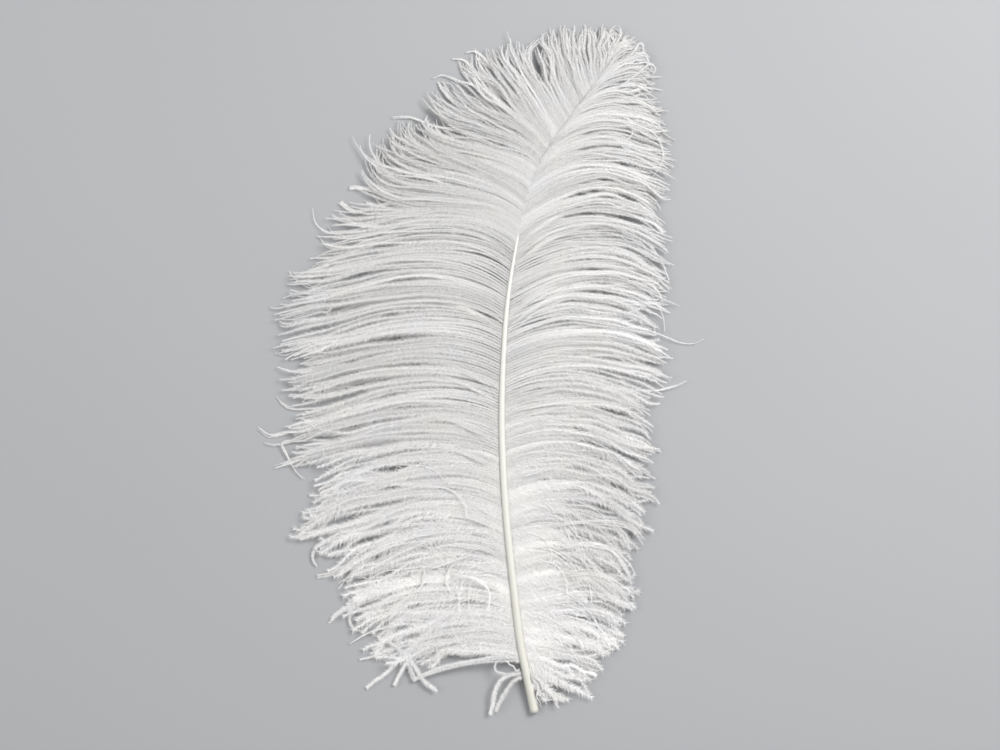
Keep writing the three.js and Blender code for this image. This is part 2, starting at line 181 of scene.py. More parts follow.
# Single barbs and thin wisps that leave the locks: how many barbs, how far they spread, how far
# their barbules reach, and the points that they pass.
WISPS = [
    (6, 2.2, 1.2, [(45, 146), (44.5, 168), (41.6, 182), (34.8, 190), (31.7, 197), (30.6, 207), (32, 214),
                   (37, 219)]),
    (4, 1.6, 1.0, [(24, 130), (-5, 156), (-30, 163), (-45, 169.5), (-58, 169)]),
    (1, 0.4, 0.6, [(-60, 84), (-85, 88), (-103, 92), (-110, 98), (-112, 108)]),
    (2, 0.8, 0.7, [(-60, 92), (-80, 92), (-95, 91), (-99, 92.5), (-102, 95.5)]),
    (2, 0.8, 0.7, [(-60, 80), (-85, 82), (-98, 80.5), (-104, 83.5), (-109, 90)]),
    (2, 0.6, 0.8, [(-90, 15), (-106, 18), (-118, 16), (-130, 10), (-137, 11.5)]),
    (2, 0.8, 0.8, [(-96, 62), (-104, 60), (-114, 55), (-125, 61), (-129, 65)]),
    (3, 0.9, 1.3, [(-76, -31), (-102, -35), (-124, -40), (-138, -43.5), (-143, -43), (-148.5, -39)]),
    (2, 0.8, 1.2, [(-72, -36), (-100, -42), (-124, -47), (-136, -49.5), (-144, -48.5)]),
    (2, 0.8, 1.2, [(-84, -24), (-108, -26), (-124, -27), (-132, -24), (-137, -19)]),
    (2, 0.3, 0.7, [(-107, -82), (-98, -75), (-85, -68), (-70, -64), (-55, -63), (-38, -64.5), (-27, -70),
                   (-22.5, -77)]),
    (2, 0.3, 0.7, [(-107, -77), (-96, -76), (-70, -75), (-45, -77.5), (-25, -78.5), (-15.5, -82.5),
                   (-10, -89), (-8.5, -98)]),
    (2, 0.3, 0.6, [(-2, -122), (-14, -126), (-24, -129.5), (-33, -133)]),
    (2, 0.3, 0.7, [(-38, -128), (-37, -135), (-39, -143), (-47, -151), (-58, -157), (-70, -161)]),
    (2, 0.3, 0.7, [(-17, -128), (-21, -134), (-22, -141), (-20, -147)]),
    (2, 0.3, 0.7, [(-22, -137), (-10, -137.5), (-1, -140), (5, -146), (6.5, -152), (5, -163)]),
    (2, 0.3, 0.8, [(-80, -139), (-78, -130), (-70, -123), (-58, -117), (-45, -112), (-30, -109)]),
    (2, 0.8, 0.9, [(-96, -46), (-116, -48), (-132, -48), (-130, -57), (-124, -67), (-118, -73)]),
    (3, 1.0, 1.2, [(-92, -60), (-108, -58.5), (-122, -60), (-130, -63.5), (-138, -66.5)]),
    (2, 1.0, 2.6, [(-60, -116), (-75, -120), (-92, -124), (-104, -123.5), (-110, -122)]),
    (3, 0.8, 1.4, [(-85, -113), (-100, -115), (-110, -118), (-113, -125), (-110, -131)]),
    (4, 1.2, 1.6, [(-68, -122), (-79, -130), (-90, -134), (-100, -137), (-109, -138.5)]),
    (2, 0.8, 1.2, [(-70, -118), (-80, -127), (-86, -137), (-95, -143)]),
    (1, 0.4, 1.0, [(-74, -140), (-82, -139), (-89, -139)]),
    (5, 1.6, 1.7, [(-60, -148), (-78, -155), (-88, -159), (-95, -163), (-100, -168)]),
    (2, 0.8, 1.3, [(-68, -163), (-77, -161), (-84, -157.5), (-89, -152)]),
    (2, 0.7, 1.5, [(-66, -158), (-78, -160.5), (-86, -163), (-88, -169), (-85, -174), (-78, -175)]),
    (2, 0.6, 1.0, [(-56, -170), (-70, -174), (-78, -178), (-87, -183.5)]),
    (2, 0.5, 1.6, [(-40, -183), (-54, -186), (-66, -190), (-74, -193), (-81, -195)]),
    (3, 0.8, 2.2, [(-26, -180), (-41, -184), (-51, -189), (-57, -197), (-64, -204), (-71, -209),
                   (-76, -213)]),
    (3, 0.6, 2.0, [(-20, -182), (-37, -186), (-47, -193), (-53, -202), (-56, -207), (-58, -211.5)]),
    (3, 0.6, 1.8, [(-66, -178), (-57, -185), (-51, -192), (-47, -200), (-45.5, -204), (-44, -208)]),
    (3, 0.7, 2.1, [(-62, -182), (-51, -190), (-44, -199), (-40, -206), (-36, -211), (-31, -215)]),
    (1, 0.3, 0.8, [(-48, -192), (-43, -187), (-36, -183.5), (-30, -184.5), (-28, -188)]),
    (6, 1.2, 1.7, [(27, -192), (12, -192), (0, -193.5), (-15, -196.5), (-28, -200), (-40, -205),
                   (-44, -207)]),
    (3, 0.7, 2.2, [(28, -203), (20, -204), (13, -208), (9.5, -216), (8, -223), (6.5, -230)]),
    (3, 0.7, 2.0, [(28.5, -204.5), (22, -208), (17, -215), (13, -222), (10.5, -228)]),
    (2, 0.6, 1.3, [(27, -201), (19, -204), (12, -202.5), (10, -198.5), (11.5, -195), (16, -193)]),
    (1, 0.4, 1.0, [(26, -201), (22, -198.5), (19.5, -196), (16, -194)]),
    (2, 0.5, 1.0, [(32, -203), (36, -207), (38, -212), (37.6, -219), (40, -226)]),
    (3, 0.6, 1.1, [(32, -202.5), (38, -206.5), (43, -213), (48.5, -219), (52, -226)]),
    (1, 0.2, 0.8, [(37.8, -213), (40, -218.5), (44, -220.5), (49, -221)]),
    (1, 0.3, 0.8, [(60, 33), (95, 29), (112, 26), (122.3, 22.3), (133, 18.3), (143, 17.7), (150, 21)]),
    (2, 0.5, 0.9, [(70, -10), (95, -13), (116, -13.7), (126, -12.3), (133, -10.3), (138, -7.7)]),
    (2, 0.6, 0.9, [(88, 196), (101, 211), (106, 218), (109, 217), (108.5, 212.5)]),
    (2, 0.6, 0.9, [(90, 193), (104, 207), (110, 212), (113, 207), (111.5, 201)]),
    (2, 0.5, 0.9, [(86, 184), (104, 197), (113, 204.5), (117, 202), (116, 198)]),
    (2, 0.5, 0.9, [(84, 37), (100, 38), (108, 42), (112, 47), (118, 49)]),
    (2, 0.6, 0.9, [(88, 44), (108, 44), (118, 43.5), (126, 43)]),
    (2, 0.8, 1.0, [(84, 30), (105, 33), (114, 31), (117, 27), (115, 23)]),
    (2, 0.6, 1.2, [(20, -28), (56, -21.5), (86, -22.6), (100, -29), (107, -36), (112, -44)]),
    (2, 0.6, 1.3, [(19, -74), (54, -64), (76, -62.6), (92, -70), (102, -84), (104, -92)]),
    (5, 2.4, 1.2, [(44, -105), (60, -102), (82, -100.5), (98, -104), (107, -113)]),
    (5, 2.6, 1.2, [(50, -122), (66, -117), (84, -119), (94, -127), (100, -138)]),
    (5, 2.6, 1.2, [(52, -139), (74, -137), (88, -143), (97, -155)]),
    (3, 0.9, 1.6, [(13, -107), (-2, -100), (-24, -96), (-48, -101), (-62, -114), (-66, -128), (-68, -142)]),
    (3, 0.9, 1.6, [(14, -126), (0, -119), (-22, -117), (-38, -124), (-46, -138), (-46, -152)]),
    (2, 0.8, 1.6, [(17, -150), (0, -143), (-22, -141), (-44, -148), (-58, -160), (-62, -174)]),
    (2, 0.7, 1.4, [(10, -58), (-10, -51), (-44, -50), (-76, -58), (-96, -72), (-104, -82)]),
    (2, 0.6, 1.2, [(38, 128), (56, 146), (76, 164), (88, 169), (98, 167.5), (102, 162), (101, 156),
                   (94, 150)]),
    (2, 0.7, 1.3, [(14, 168), (-4, 185), (-16, 193.5), (-25, 197), (-32, 194.5)]),
    (9, 2.6, 1.2, [(36, 154), (22, 169), (11, 182), (3, 193), (-2, 202), (-3, 210)]),
    (9, 3.0, 1.2, [(34, 152), (18, 169), (6, 182), (-3, 191), (-9, 199), (-11, 205)]),
    (4, 0.9, 1.7, [(0, 111), (-30, 111), (-52, 112.5), (-64, 116.5), (-72, 120), (-79, 122.3),
                   (-87, 122.3)]),
    (4, 0.9, 1.7, [(-10, 110), (-35, 109.5), (-61, 110.3), (-79, 105.7), (-86, 105.7), (-94, 111)]),
    (2, 0.7, 1.3, [(16, 176), (4, 192), (-4, 201), (-11, 207.5), (-18, 209)]),
    (2, 0.7, 1.3, [(22, 180), (12, 197), (3, 208), (-3, 213), (-10, 212)]),
    (1, 0.6, 1.1, [(62, 160), (90, 166), (108, 161), (118, 155), (123, 145), (121, 136), (115, 128)]),
    (2, 0.6, 1.2, [(34, 112), (60, 124), (84, 124), (104, 114), (116, 104), (122, 92)]),
    (2, 0.6, 1.1, [(24, 76), (50, 92), (80, 98), (106, 90), (120, 74), (126, 60)]),
    (1, 0.6, 1.1, [(22, 56), (52, 68), (84, 68), (108, 56), (122, 38), (124, 26)]),
    (6, 1.6, 1.4, [(38, 150), (33, 168), (25, 183), (15, 194), (6, 202), (-2, 208)]),
    (9, 1.9, 1.5, [(34, 146), (20, 160), (6, 168), (-8, 173), (-20, 182), (-27, 191)]),
    (4, 1.4, 1.6, [(25, 82), (38, 93), (56, 103), (80, 105.5), (100, 102.5), (115, 97), (122, 91)]),
    (4, 1.3, 1.6, [(24, 70), (42, 84), (62, 92.5), (78, 95.5), (94, 93), (110, 86)]),
    (4, 1.3, 1.6, [(19, 26), (34, 38), (49, 45), (62, 47.5), (80, 46), (97, 41), (110, 33)]),
    (4, 1.4, 1.6, [(20, 38), (44, 53), (66, 58.5), (80, 59.5), (96, 57), (112, 48)]),
    (4, 1.4, 1.8, [(13, 30), (-20, 44), (-50, 48), (-70, 45.5), (-86, 41.5), (-96, 38)]),
    (4, 1.4, 1.8, [(12, -21), (-20, -6), (-45, -3), (-62, -4.5), (-82, -8.5), (-104, -14)]),
    (4, 1.4, 1.8, [(12, -13), (-20, 2), (-50, 5.5), (-74, 2.5), (-92, -2.5), (-110, -8)]),
    (4, 1.4, 1.8, [(12, -46), (-20, -33), (-44, -31), (-62, -31), (-82, -33.5), (-102, -40)]),
    (4, 1.4, 1.8, [(12, -66), (-20, -52), (-40, -48.5), (-56, -48.5), (-74, -50), (-92, -54)]),
]

# Where neighbouring barbs part and what lies below shows between them: x and y of the left end
# and of the right end, how far the middle bows up, and the width.
PARTINGS = [
    (37.6, 192, 36.5, 218, 0, 14), (30, 188, 43, 172.5, -0.6, 2.4), (25, 189, 27, 201, 0, 4),
    (-19, 192, -15, 173, 0, 4), (-30, 142, -21.5, 149, -0.6, 3.6), (-78, 103, -49, 105, 2, 3),
    (-91, 85.5, -46, 87, 2.4, 2.8), (-104, 64.5, -60, 76.5, 4, 3.8),
    (-93, 61, -53, 62, 2.8, 3), (-100, 49.5, -82, 50, -1.6, 2.6), (-72, 51, -48, 52.5, 1, 2.6),
    (-14, 40, 16, 34.5, 1, 2.6), (-119, 38, -97, 37.5, 1.6, 5),
    (-66, 36.5, -44, 37, -0.4, 2.6), (-100, 24.5, -81, 25, 0.6, 2.4), (-63, 16, -28, 16.5, 2.2, 3),
    (-121, 9.5, -104, 11.5, 2, 3.4), (-131, 3, -114, 0, 0, 6), (-42, -3.6, 11, -9.2, 1.8, 2.4),
    (-58, -25, -45, -25, -0.8, 2.8), (-53, -45, -37, -42, 0.2, 3), (-41, -61.6, -19, -63.6, 0, 3.2),
    (-126, -47.5, -116, -51.5, 0, 3.4), (-129, -54.5, -117, -58.5, 0, 5),
    (-118, -61, -104, -62.5, 0, 2.6), (-57, -74.6, -36, -71.4, 0.4, 2.6),
    (-63, -87.6, -43, -84.2, 0.2, 3), (-35, -86.2, -12, -88, 0, 3), (-83, -95, -65, -93, 0, 4),
    (-101, -90.8, -91, -90.4, 0, 2.6), (-119, -104.5, -101, -101.4, 0, 4.4),
    (-38, -105.4, -11, -101.6, 0, 2.6), (-21, -114, 6, -115.6, 2.6, 4.2), (4, -111, 17, -120, 0.2, 3),
    (-81, -138, -64, -121, 3, 4.6), (-66, -122, -54, -118.6, 0.2, 2.4), (-59, -139, -52, -133, 0, 2.6),
    (-48, -133.5, -42, -130.5, 0, 3.2), (-69, -148, -59, -139.5, 0.6, 4.2),
    (-35, -138, -29, -133.5, 0, 4), (-21, -131.5, -4, -131.8, 0.4, 3.6), (-1, -138, 13, -142.4, 0, 3),
    (-47, -155.5, -42, -152.5, 0, 3), (-109, -129, -85, -127, -1, 8), (-73, -168, -65, -167, 0, 2.4),
    (-63, -172.6, -55, -174.4, 0, 3), (-51, -185.6, -45, -187, 0, 3),
    (-41, -187.4, -28, -186, 1.2, 4.6), (-45, -197, -13, -190.6, 0.6, 5),
    (49, -157.6, 57, -155.8, 0, 2.6), (71, 34, 89, 35, 1, 2.8), (81, 29, 99, 30.6, 0, 3),
    (39, 7.6, 62, 7.4, 0.8, 3.6), (70, 7.2, 93, 8, 0.8, 3.2), (99, -2.6, 109, -2, 0, 3),
    (111, -4.6, 117, -7.4, 0, 4), (29, -15.4, 48, -11.8, 0.8, 2.6), (41, -17.6, 59, -14.8, 0.3, 2.6),
    (46, -34.4, 74, -28.8, 0.2, 3.2), (79, -33.2, 88, -32, 0, 3.6), (91, -32.4, 99, -32.6, 0, 2.6),
    (32, -38.4, 43, -36.4, 0, 2.6), (92, -42.2, 100, -40, 0, 2.6), (104, -40.4, 111, -46, 0, 5),
    (109, 4.4, 117, 2.8, 0, 3), (111, 20, 119, 24, 0, 4), (104, 38, 110, 42.4, 0, 3),
    (26, -65.2, 59, -59.8, 0.2, 3.2), (56, -82.4, 71, -79.4, 0, 3.6), (71, -83, 79, -82.4, 0, 3),
    (85, -80, 94, -81, 0, 3.6), (65, -93.6, 72, -92.4, 0, 3), (36, -100, 53, -93.8, 0.2, 2.6),
    (36, -103.2, 44, -100.8, 0, 2.6), (75, -107.4, 91, -105.4, 0.4, 3.6), (91, -96, 99, -94, 0, 5.6),
    (96, -101.2, 105, -98.8, 0, 2.6), (103, -103.2, 109, -102.8, 0, 3), (59, -118.6, 71, -115.2, 0, 4),
    (60, -125, 67, -125.6, 0, 3.6), (70, -122, 79, -122.4, 0, 4), (91, -126.6, 96, -123.6, 0, 2.6),
    (42, -136.4, 54, -141.4, 0, 3), (56, -137, 72, -138, -0.4, 3.2), (72, -134.8, 79, -136.2, 0, 4),
    (85, -152, 89, -146.6, 0, 3), (93, -152.6, 101, -148.6, 0, 3), (104, -66, 114, -73, 0, 7),
    (97, -72, 104, -72, 0, 3), (103, -86, 110, -86, 0, 4), (106, -93, 114, -92, 0, 6),
    (74, -165.4, 87, -162.8, -0.6, 2.6), (52, -182.6, 67, -187.8, 0, 2.6),
    (70, -198.6, 81, -198, -0.2, 3.2), (61, -209, 77, -210.8, -1, 5), (59, 83.4, 96, 86, 3.4, 4.4),
    (68, 152, 100, 163, 1.5, 3.5), (66, 143, 96, 150, 1.8, 3),
    (95, 84.6, 109, 85, 0.4, 2.6), (99, 92, 108, 96.4, 0, 3), (106, 89, 118, 94, 0, 3),
    (89, 107, 106, 111, 0.4, 2.6), (111, 124, 125, 129, 0, 4),
]

# How a barb's five path points lie: the handles as shares of its length, left and right, how far
# up the shaft each vane starts to fan out, how strongly each point is drawn to the nearest guide
# (1 is not at all) and the heights as shares of the shaft's height.
ROOT_HANDLES = (0.28, 0.34)
FLOW_HANDLE = 0.29
HOOK_SOFTENING = 0.5
FAN_STARTS = (80, 162)
FAN_OPENING = 12
DRAWN_TO_GUIDE = (1.0, 1.0, 0.95, 0.9, 0.84)
HEIGHTS = (1.0, 1.14, 0.62, 0.16, 0.06)
TIP_HEIGHT = 0.9

# How finely barbs, the spans of a smooth line and the middle line of the shaft are cut.
STEPS_PER_BARB = 28
CUTS_PER_SPAN = 12
SHAFT_STEPS = 500

# What the five path points rise by where the vanes close over the shaft, and in the uppermost
# layer of a vane.
CLOSED_RISE = (2.4, 2.0, 0.8, 0, 0)
LAYER_RISE = (0, 0, 4.0, 4.5, 3.0)
CLOSED_ROOT = 1.1

# Ranges of y, from where a change starts to where it is complete: the vanes close over the shaft
# towards the tip, barbs grow unruly towards the quill, and the right vane is tame again beside it.
CLOSING = (72, 116)
UNRULY = (-30, -100)
TAME_AGAIN = (-140, -165)

# Play of the roots as shares of their spacing: between the two rows and of each one. How far from
# its middle they stand on the shaft, as a share of its breadth. Then play of a barb between its
# guides and of its bend, which also takes most of the scatter of its tip.
ROW_PLAY = 0.3
ROOT_PLAY = 0.15
ROOT_BESIDE = 0.4
GUIDE_PLAY = 0.06
BEND_PLAY = 0.8
BEND_SCATTER = 0.7
RAMUS_NARROWING = 0.62

# What is added where barbs are unruly: to the share of strays and, as shares of the usual amount,
# to how far they wander, how much tips turn, how barbs sway and how well they heed partings.
UNRULY_STRAYS = 0.2
UNRULY_WANDER = 0.5
UNRULY_CURL = 0.6
UNRULY_SWAY = 0.9
UNRULY_HEED = -0.5

# Strays leave their lock and cross others: how many there are, how many guides away they end, and
# how much of that each path point takes. Curled barbs turn their tip by about so many degrees, on
# a shorter lever.
STRAY_SHARE = 0.24
STRAY_GUIDES = 0.9
FARTHEST_STRAY = 2.5
STRAY_POINTS = (0.0, 0.1, 0.6, 1.0, 1.0)
STRAY_LOSS = 0.04
STRAY_HEED = 0.3
BARB_HEED = (0.55, 1.0)
CURLED_SHARE = 0.16
CURLED_TURN = 55
CURLED_LEVER = 0.7
PLAIN_TURN = 13
LENGTH_SPREAD = (1.1, 2.6)

# Tufts: how many barbs they hold and how their tightness varies. Along a barb, by shares of its
# length, they gather in the first range and loosen a little in the second.
TUFT_SIZES = (2, 6)
TIGHTNESS_PLAY = 0.2
TIGHTNESS_LIMITS = (0.1, 0.92)
GATHERING = (0.1, 0.52)
LOOSENING = (0.72, 1.0)
LOOSENED = 0.45

# Waves of a tuft, as height and turns along a barb, and those of the single barbs in it. Both grow
# from the shaft outwards, and lift the barbs half as far, a few steps behind.
TUFT_WAVES = ((1.0, 1.4), (0.45, 3.1))
OWN_WAVE = 0.42
OWN_TURNS = (1.5, 4.0)
SIDE_WAVE_GROWTH = (0, 0.7)
LIFT_WAVE_GROWTH = (0, 0.5)
LIFT_WAVE_SHARE = 0.5
LIFT_WAVE_LAG = 5

# Partings: how far they open, how bluntly they end, from 1 for a plain wave down to 0, how far
# beside one the barbs give way, and how little those do that cross it.
PARTING_OPENNESS = 0.48
PARTING_BLUNTNESS = 0.8
PARTING_REACH = (2.0, 1.5)
CROSSING_DEPTH = 0.45
CROSSING_HEED = 0.25

# Barbules reach full length in the first range, as shares of the barb, and shorten in the second,
# less so on blunt, unruly barbs.
BARBULE_GROWTH = (0, 0.35)
BARBULE_TAPER = (0.8, 1.0)
POINTED_TAPER = 0.74
BLUNT_RELIEF = 0.44
BARBULE_PLAY = (0.75, 1.25)

# Painted light and painted shade in the vanes' tone: how much, and from where to where by y, or by
# the distance from the shaft for the painted light beside it.
# Painted light: the right vane lighter beside the shaft and by the quill, where its down is also denser.
QUILL_PAINTED_LIGHT = 0.44
PAINTED_LIGHT_BY_QUILL = 0.8
PAINTED_LIGHT_BESIDE_SHAFT = (60, 15)
PAINTED_LIGHT_AT_QUILL = (-150, -180)
PAINTED_LIGHT_START = (-30, -90)
# Painted light on the low left vane, and painted shade towards the tip, where the light falls off.
LOW_LEFT_PAINTED_LIGHT = 0.34
LOW_LEFT_LIGHT_RANGE = (-40, -90)
TIP_PAINTED_SHADE = 0.14
TIP_SHADE_RANGE = (30, 110)

Barbs = namedtuple("Barbs", "points thickness reach tone")


# ---------------------------------------------------------------- paths of the barbs


def column(rows, y, index):
    """Reads a table of rows that start with y at the given y."""
    return np.interp(y, [row[0] for row in rows], [row[index] for row in rows])


def smooth_line(points, count):
    """A smooth line through points, evenly sampled along its length."""
    points = np.asarray(points, float)
    padded = np.vstack([2 * points[0] - points[1], points, 2 * points[-1] - points[-2]])
    share = np.linspace(0, 1, CUTS_PER_SPAN, endpoint=False)[:, None]
    dense = [points[:1]]
    for a, b, c, d in zip(padded, padded[1:], padded[2:], padded[3:]):
        cubic = 2 * b + (c - a) * share + (2 * a - 5 * b + 4 * c - d) * share**2
        dense.append(0.5 * (cubic + (3 * b - a - 3 * c + d) * share**3)[1:])
        dense.append(c[None])
    dense = np.vstack(dense)
    travelled = lengths_along(dense)
    wanted = np.linspace(0, travelled[-1], count)
    return np.stack([np.interp(wanted, travelled, dense[:, axis]) for axis in range(points.shape[1])], 1)


def lengths_along(line):
    """How far along a line each of its points lies."""
    return np.concatenate([[0], np.cumsum(np.linalg.norm(np.diff(line, axis=0), axis=1))])


SHAFT = smooth_line(SHAFT_LINE, SHAFT_STEPS)


def shaft_at(y):
    """The middle of the shaft at y, as rows of x, y, z."""
    return np.stack([np.interp(y, SHAFT[:, 1], SHAFT[:, axis]) for axis in range(3)], -1)


def ramp(value, start, end):
    """Eases from 0 where the value is at start to 1 where it is at end, whichever is greater."""
    share = np.clip((value - start) / (end - start), 0, 1)
    return share * share * (3 - 2 * share)


def heading(angle):
    """The level direction at an angle in degrees, as rows of x, y."""
    angle = np.radians(angle)
    return np.stack([np.cos(angle), np.sin(angle)], -1)


def guide_controls(guides, side):
    """The five Bezier points of every guide: root, three handles, tip."""
    root_y, tip_x, tip_y, tip_heading = np.array(guides, float).T
    vane = 0 if side < 0 else 1
    root = shaft_at(root_y)[:, :2]
    tip = np.stack([tip_x, tip_y], 1)
    length = np.linalg.norm(tip - root, axis=1)[:, None]
    leave = heading(column(BARB_RUN, root_y, 1 + vane)) * (side, 1)
    flow_angle = column(BARB_RUN, root_y, 3 + vane)
    flow = heading(flow_angle)
    in_fan = ramp(root_y, FAN_STARTS[vane], FAN_STARTS[vane] + FAN_OPENING)[:, None]
    hook = np.abs(np.sin(np.radians(tip_heading - flow_angle)))[:, None]
    handle = length * column(BARB_RUN, root_y, 5 + vane)[:, None]
    bend = tip - heading(tip_heading) * handle * (1 - HOOK_SOFTENING * hook * (1 - in_fan))
    straight = tip - flow * handle
    return np.stack([
        root,
        root + leave * length * ROOT_HANDLES[vane],
        straight + (bend - straight) * in_fan - flow * length * FLOW_HANDLE,
        bend,
        tip,
    ], 1)


def blended_controls(guides, side, place, wander):
    """The five Bezier points of barbs between the guides, drawn a little to the nearest one."""
    ends = guide_controls(guides, side)
    controls = np.zeros((len(place), len(DRAWN_TO_GUIDE), 3))
    for k, pull in enumerate(DRAWN_TO_GUIDE):
        own_place = np.clip(place + wander * STRAY_POINTS[k], 0, len(guides) - 1.001)
        below = own_place.astype(int)
        middle = 2 * (own_place - below) - 1
        toward = (0.5 + 0.5 * np.sign(middle) * np.abs(middle)**pull)[:, None]
        controls[:, k, :2] = ends[below, k] * (1 - toward) + ends[below + 1, k] * toward
    return controls


def bezier(controls, share):
    """Points of Bezier curves of any degree at the shares, one row of shares for each curve."""
    degree = controls.shape[1] - 1
    weights = [math.comb(degree, k) * share**k * (1 - share)**(degree - k) for k in range(degree + 1)]
    return np.einsum("kns,nkd->nsd", np.stack(weights), controls)


def root_places(low, high, spacing, vane, rng):
    """The y of the roots, evenly spaced along the shaft with a little play."""
    stretch = SHAFT[(SHAFT[:, 1] >= low) & (SHAFT[:, 1] <= high)]
    steps = np.linalg.norm(np.diff(stretch, axis=0), axis=1)
    steps *= column(BARB_CROWDING, stretch[1:, 1], 1 + vane)
    travelled = np.concatenate([[0], np.cumsum(steps)])
    places = np.arange(0, travelled[-1], spacing)
    places[1::2] -= ROW_PLAY * spacing
    places += rng.uniform(-ROOT_PLAY, ROOT_PLAY, len(places)) * spacing
    return np.sort(np.interp(places, travelled, stretch[:, 1]))


def tufts_of(count, sizes, rng):
    """Splits the barbs into neighbouring tufts and numbers them."""
    members = []
    while len(members) < count:
        members += [members[-1] + 1 if members else 0] * int(rng.integers(*sizes))
    return np.array(members[:count])


def gather(points, members, tightness, share):
    """Draws the barbs of each tuft together along the middle of their length."""
    middle = np.stack([points[members == tuft].mean(0) for tuft in range(members.max() + 1)])[members]
    profile = ramp(share, *GATHERING) * (1 - LOOSENED * ramp(share, *LOOSENING))
    pull = tightness[members][:, None] * profile
    points[..., :2] += (middle - points)[..., :2] * pull[..., None]


def sway(points, members, share, size, rng):
    """Lets tufts, and the barbs in them, wave from side to side and up and down."""
    run = np.gradient(points, axis=1)
    across = np.stack([-run[..., 1], run[..., 0]], -1)
    across /= np.linalg.norm(across, axis=-1, keepdims=True) + 1e-9
    tufts = members.max() + 1
    whole_turn = 2 * math.pi
    waves = np.zeros(points.shape[:2])
    for amount, turns in TUFT_WAVES:
        phase = rng.uniform(0, whole_turn, tufts)[members][:, None]
        height = rng.normal(0, amount, tufts)[members][:, None]
        waves += height * np.sin(phase + share * turns * whole_turn)
    own_phase = rng.uniform(0, whole_turn, (len(points), 1))
    own_turns = rng.uniform(*OWN_TURNS, (len(points), 1))
    waves += OWN_WAVE * np.sin(own_phase + share * own_turns * whole_turn)
    waves *= size * ramp(share, *SIDE_WAVE_GROWTH)
    points[..., :2] += across * waves[..., None]
    lifts = LIFT_WAVE_SHARE * np.roll(waves, LIFT_WAVE_LAG, axis=1)
    points[..., 2] += lifts * ramp(share, *LIFT_WAVE_GROWTH)


def curl(controls, amount, rng):
    """Turns the tips of the barbs, a little for most of them and far for the curled ones."""
    count = len(controls)
    curled = rng.random(count) < CURLED_SHARE
    turn = np.radians(rng.normal(0, 1, count) * np.where(curled, CURLED_TURN, PLAIN_TURN * amount))
    bend, tip = controls[:, 3, :2], controls[:, 4, :2]
    lever = (tip - bend) * np.where(curled, CURLED_LEVER, 1.0)[:, None]
    cosine, sine = np.cos(turn), np.sin(turn)
    controls[:, 4, 0] = bend[:, 0] + lever[:, 0] * cosine - lever[:, 1] * sine
    controls[:, 4, 1] = bend[:, 1] + lever[:, 0] * sine + lever[:, 1] * cosine


def part(points, heed):
    """Opens the partings: barbs on both sides of one are pushed away from its middle line."""
    for x0, y0, x1, y1, bow, width in PARTINGS:
        along = np.array((x1 - x0, y1 - y0), float)
        length = np.linalg.norm(along)
        along /= length
        across = np.array((-along[1], along[0]))
        placed = points[..., :2] - (x0, y0)
        share = placed @ along / length
        offset = placed @ across - 4 * bow * share * (1 - share)
        reach = PARTING_REACH[0] * width + PARTING_REACH[1]
        near = (share > 0) & (share < 1) & (np.abs(offset) < reach)
        if not near.any():
            continue
        count = near.sum(1)
        mean = np.where(near, offset, 0).sum(1) / np.maximum(count, 1)
        bank = np.where(mean < 0, -1.0, 1.0)[:, None]
        lens = np.sin(np.pi * np.clip(share, 0, 1))**PARTING_BLUNTNESS
        opening = 0.5 * PARTING_OPENNESS * width * lens
        own_side = offset * bank
        crossing = np.where(near, own_side, 0).min(1)[:, None] < -CROSSING_DEPTH * reach
        moved = bank * (opening + np.maximum(own_side, 0) * (1 - opening / reach))
        push = np.where(near, moved - offset, 0) * np.where(crossing, CROSSING_HEED, 1.0)
        points[..., :2] += across * (push * heed[:, None])[..., None]


def vane_reach(points, share, vane, blunt, rng):
    """How far the barbules of a vane reach: least beside the shaft and at pointed tips."""
    full = column(BARBULE_REACH, points[..., 1], 1 + vane)
    beside = column(BARBULE_REACH, points[..., 1], 3 + vane)
    grown = beside + (1 - beside) * ramp(share, *BARBULE_GROWTH)
    taper = ramp(np.linspace(0, 1, STEPS_PER_BARB), *BARBULE_TAPER)
    pointed = 1 - (POINTED_TAPER - BLUNT_RELIEF * blunt[:, None]) * taper
    return full * grown * pointed * rng.uniform(*BARBULE_PLAY, (len(points), 1))


def painted_quill_light(points):
    """Painted light on the right vane, where its down is also densest: along the shaft, and all of it by
    the quill.
    """
    y = points[..., 1]
    beside = ramp(points[..., 0] - shaft_at(y)[..., 0], *PAINTED_LIGHT_BESIDE_SHAFT)
    return np.maximum(beside, PAINTED_LIGHT_BY_QUILL * ramp(y, *PAINTED_LIGHT_AT_QUILL)) * ramp(y, *PAINTED_LIGHT_START)


def vane_tone(side, points, members, rng):
    """How light the barbs are, from 0 to about 1.4: by tuft and by barb, with painted light and shade by
    their place.
    """
    tuft_tone = rng.uniform(0, 1, members.max() + 1)[members]
    own_tone = rng.uniform(0, 1, len(points))
    tone = np.repeat(((tuft_tone + own_tone) / 2)[:, None], STEPS_PER_BARB, 1)
    y = points[..., 1]
    if side > 0:
        # Painted light beside the shaft and by the quill.
        tone += QUILL_PAINTED_LIGHT * painted_quill_light(points)
    else:
        # Painted light on the low left vane.
        tone += LOW_LEFT_PAINTED_LIGHT * ramp(y, *LOW_LEFT_LIGHT_RANGE)
    # Painted shade towards the tip.
    return tone - TIP_PAINTED_SHADE * ramp(y, *TIP_SHADE_RANGE)


def ramus_radius(settings, share, narrowing):
    """The radius of a barb's stem, which narrows towards its tip by that share."""
    return settings.ramus_diameter / MM / 2 * (1 - narrowing * share)


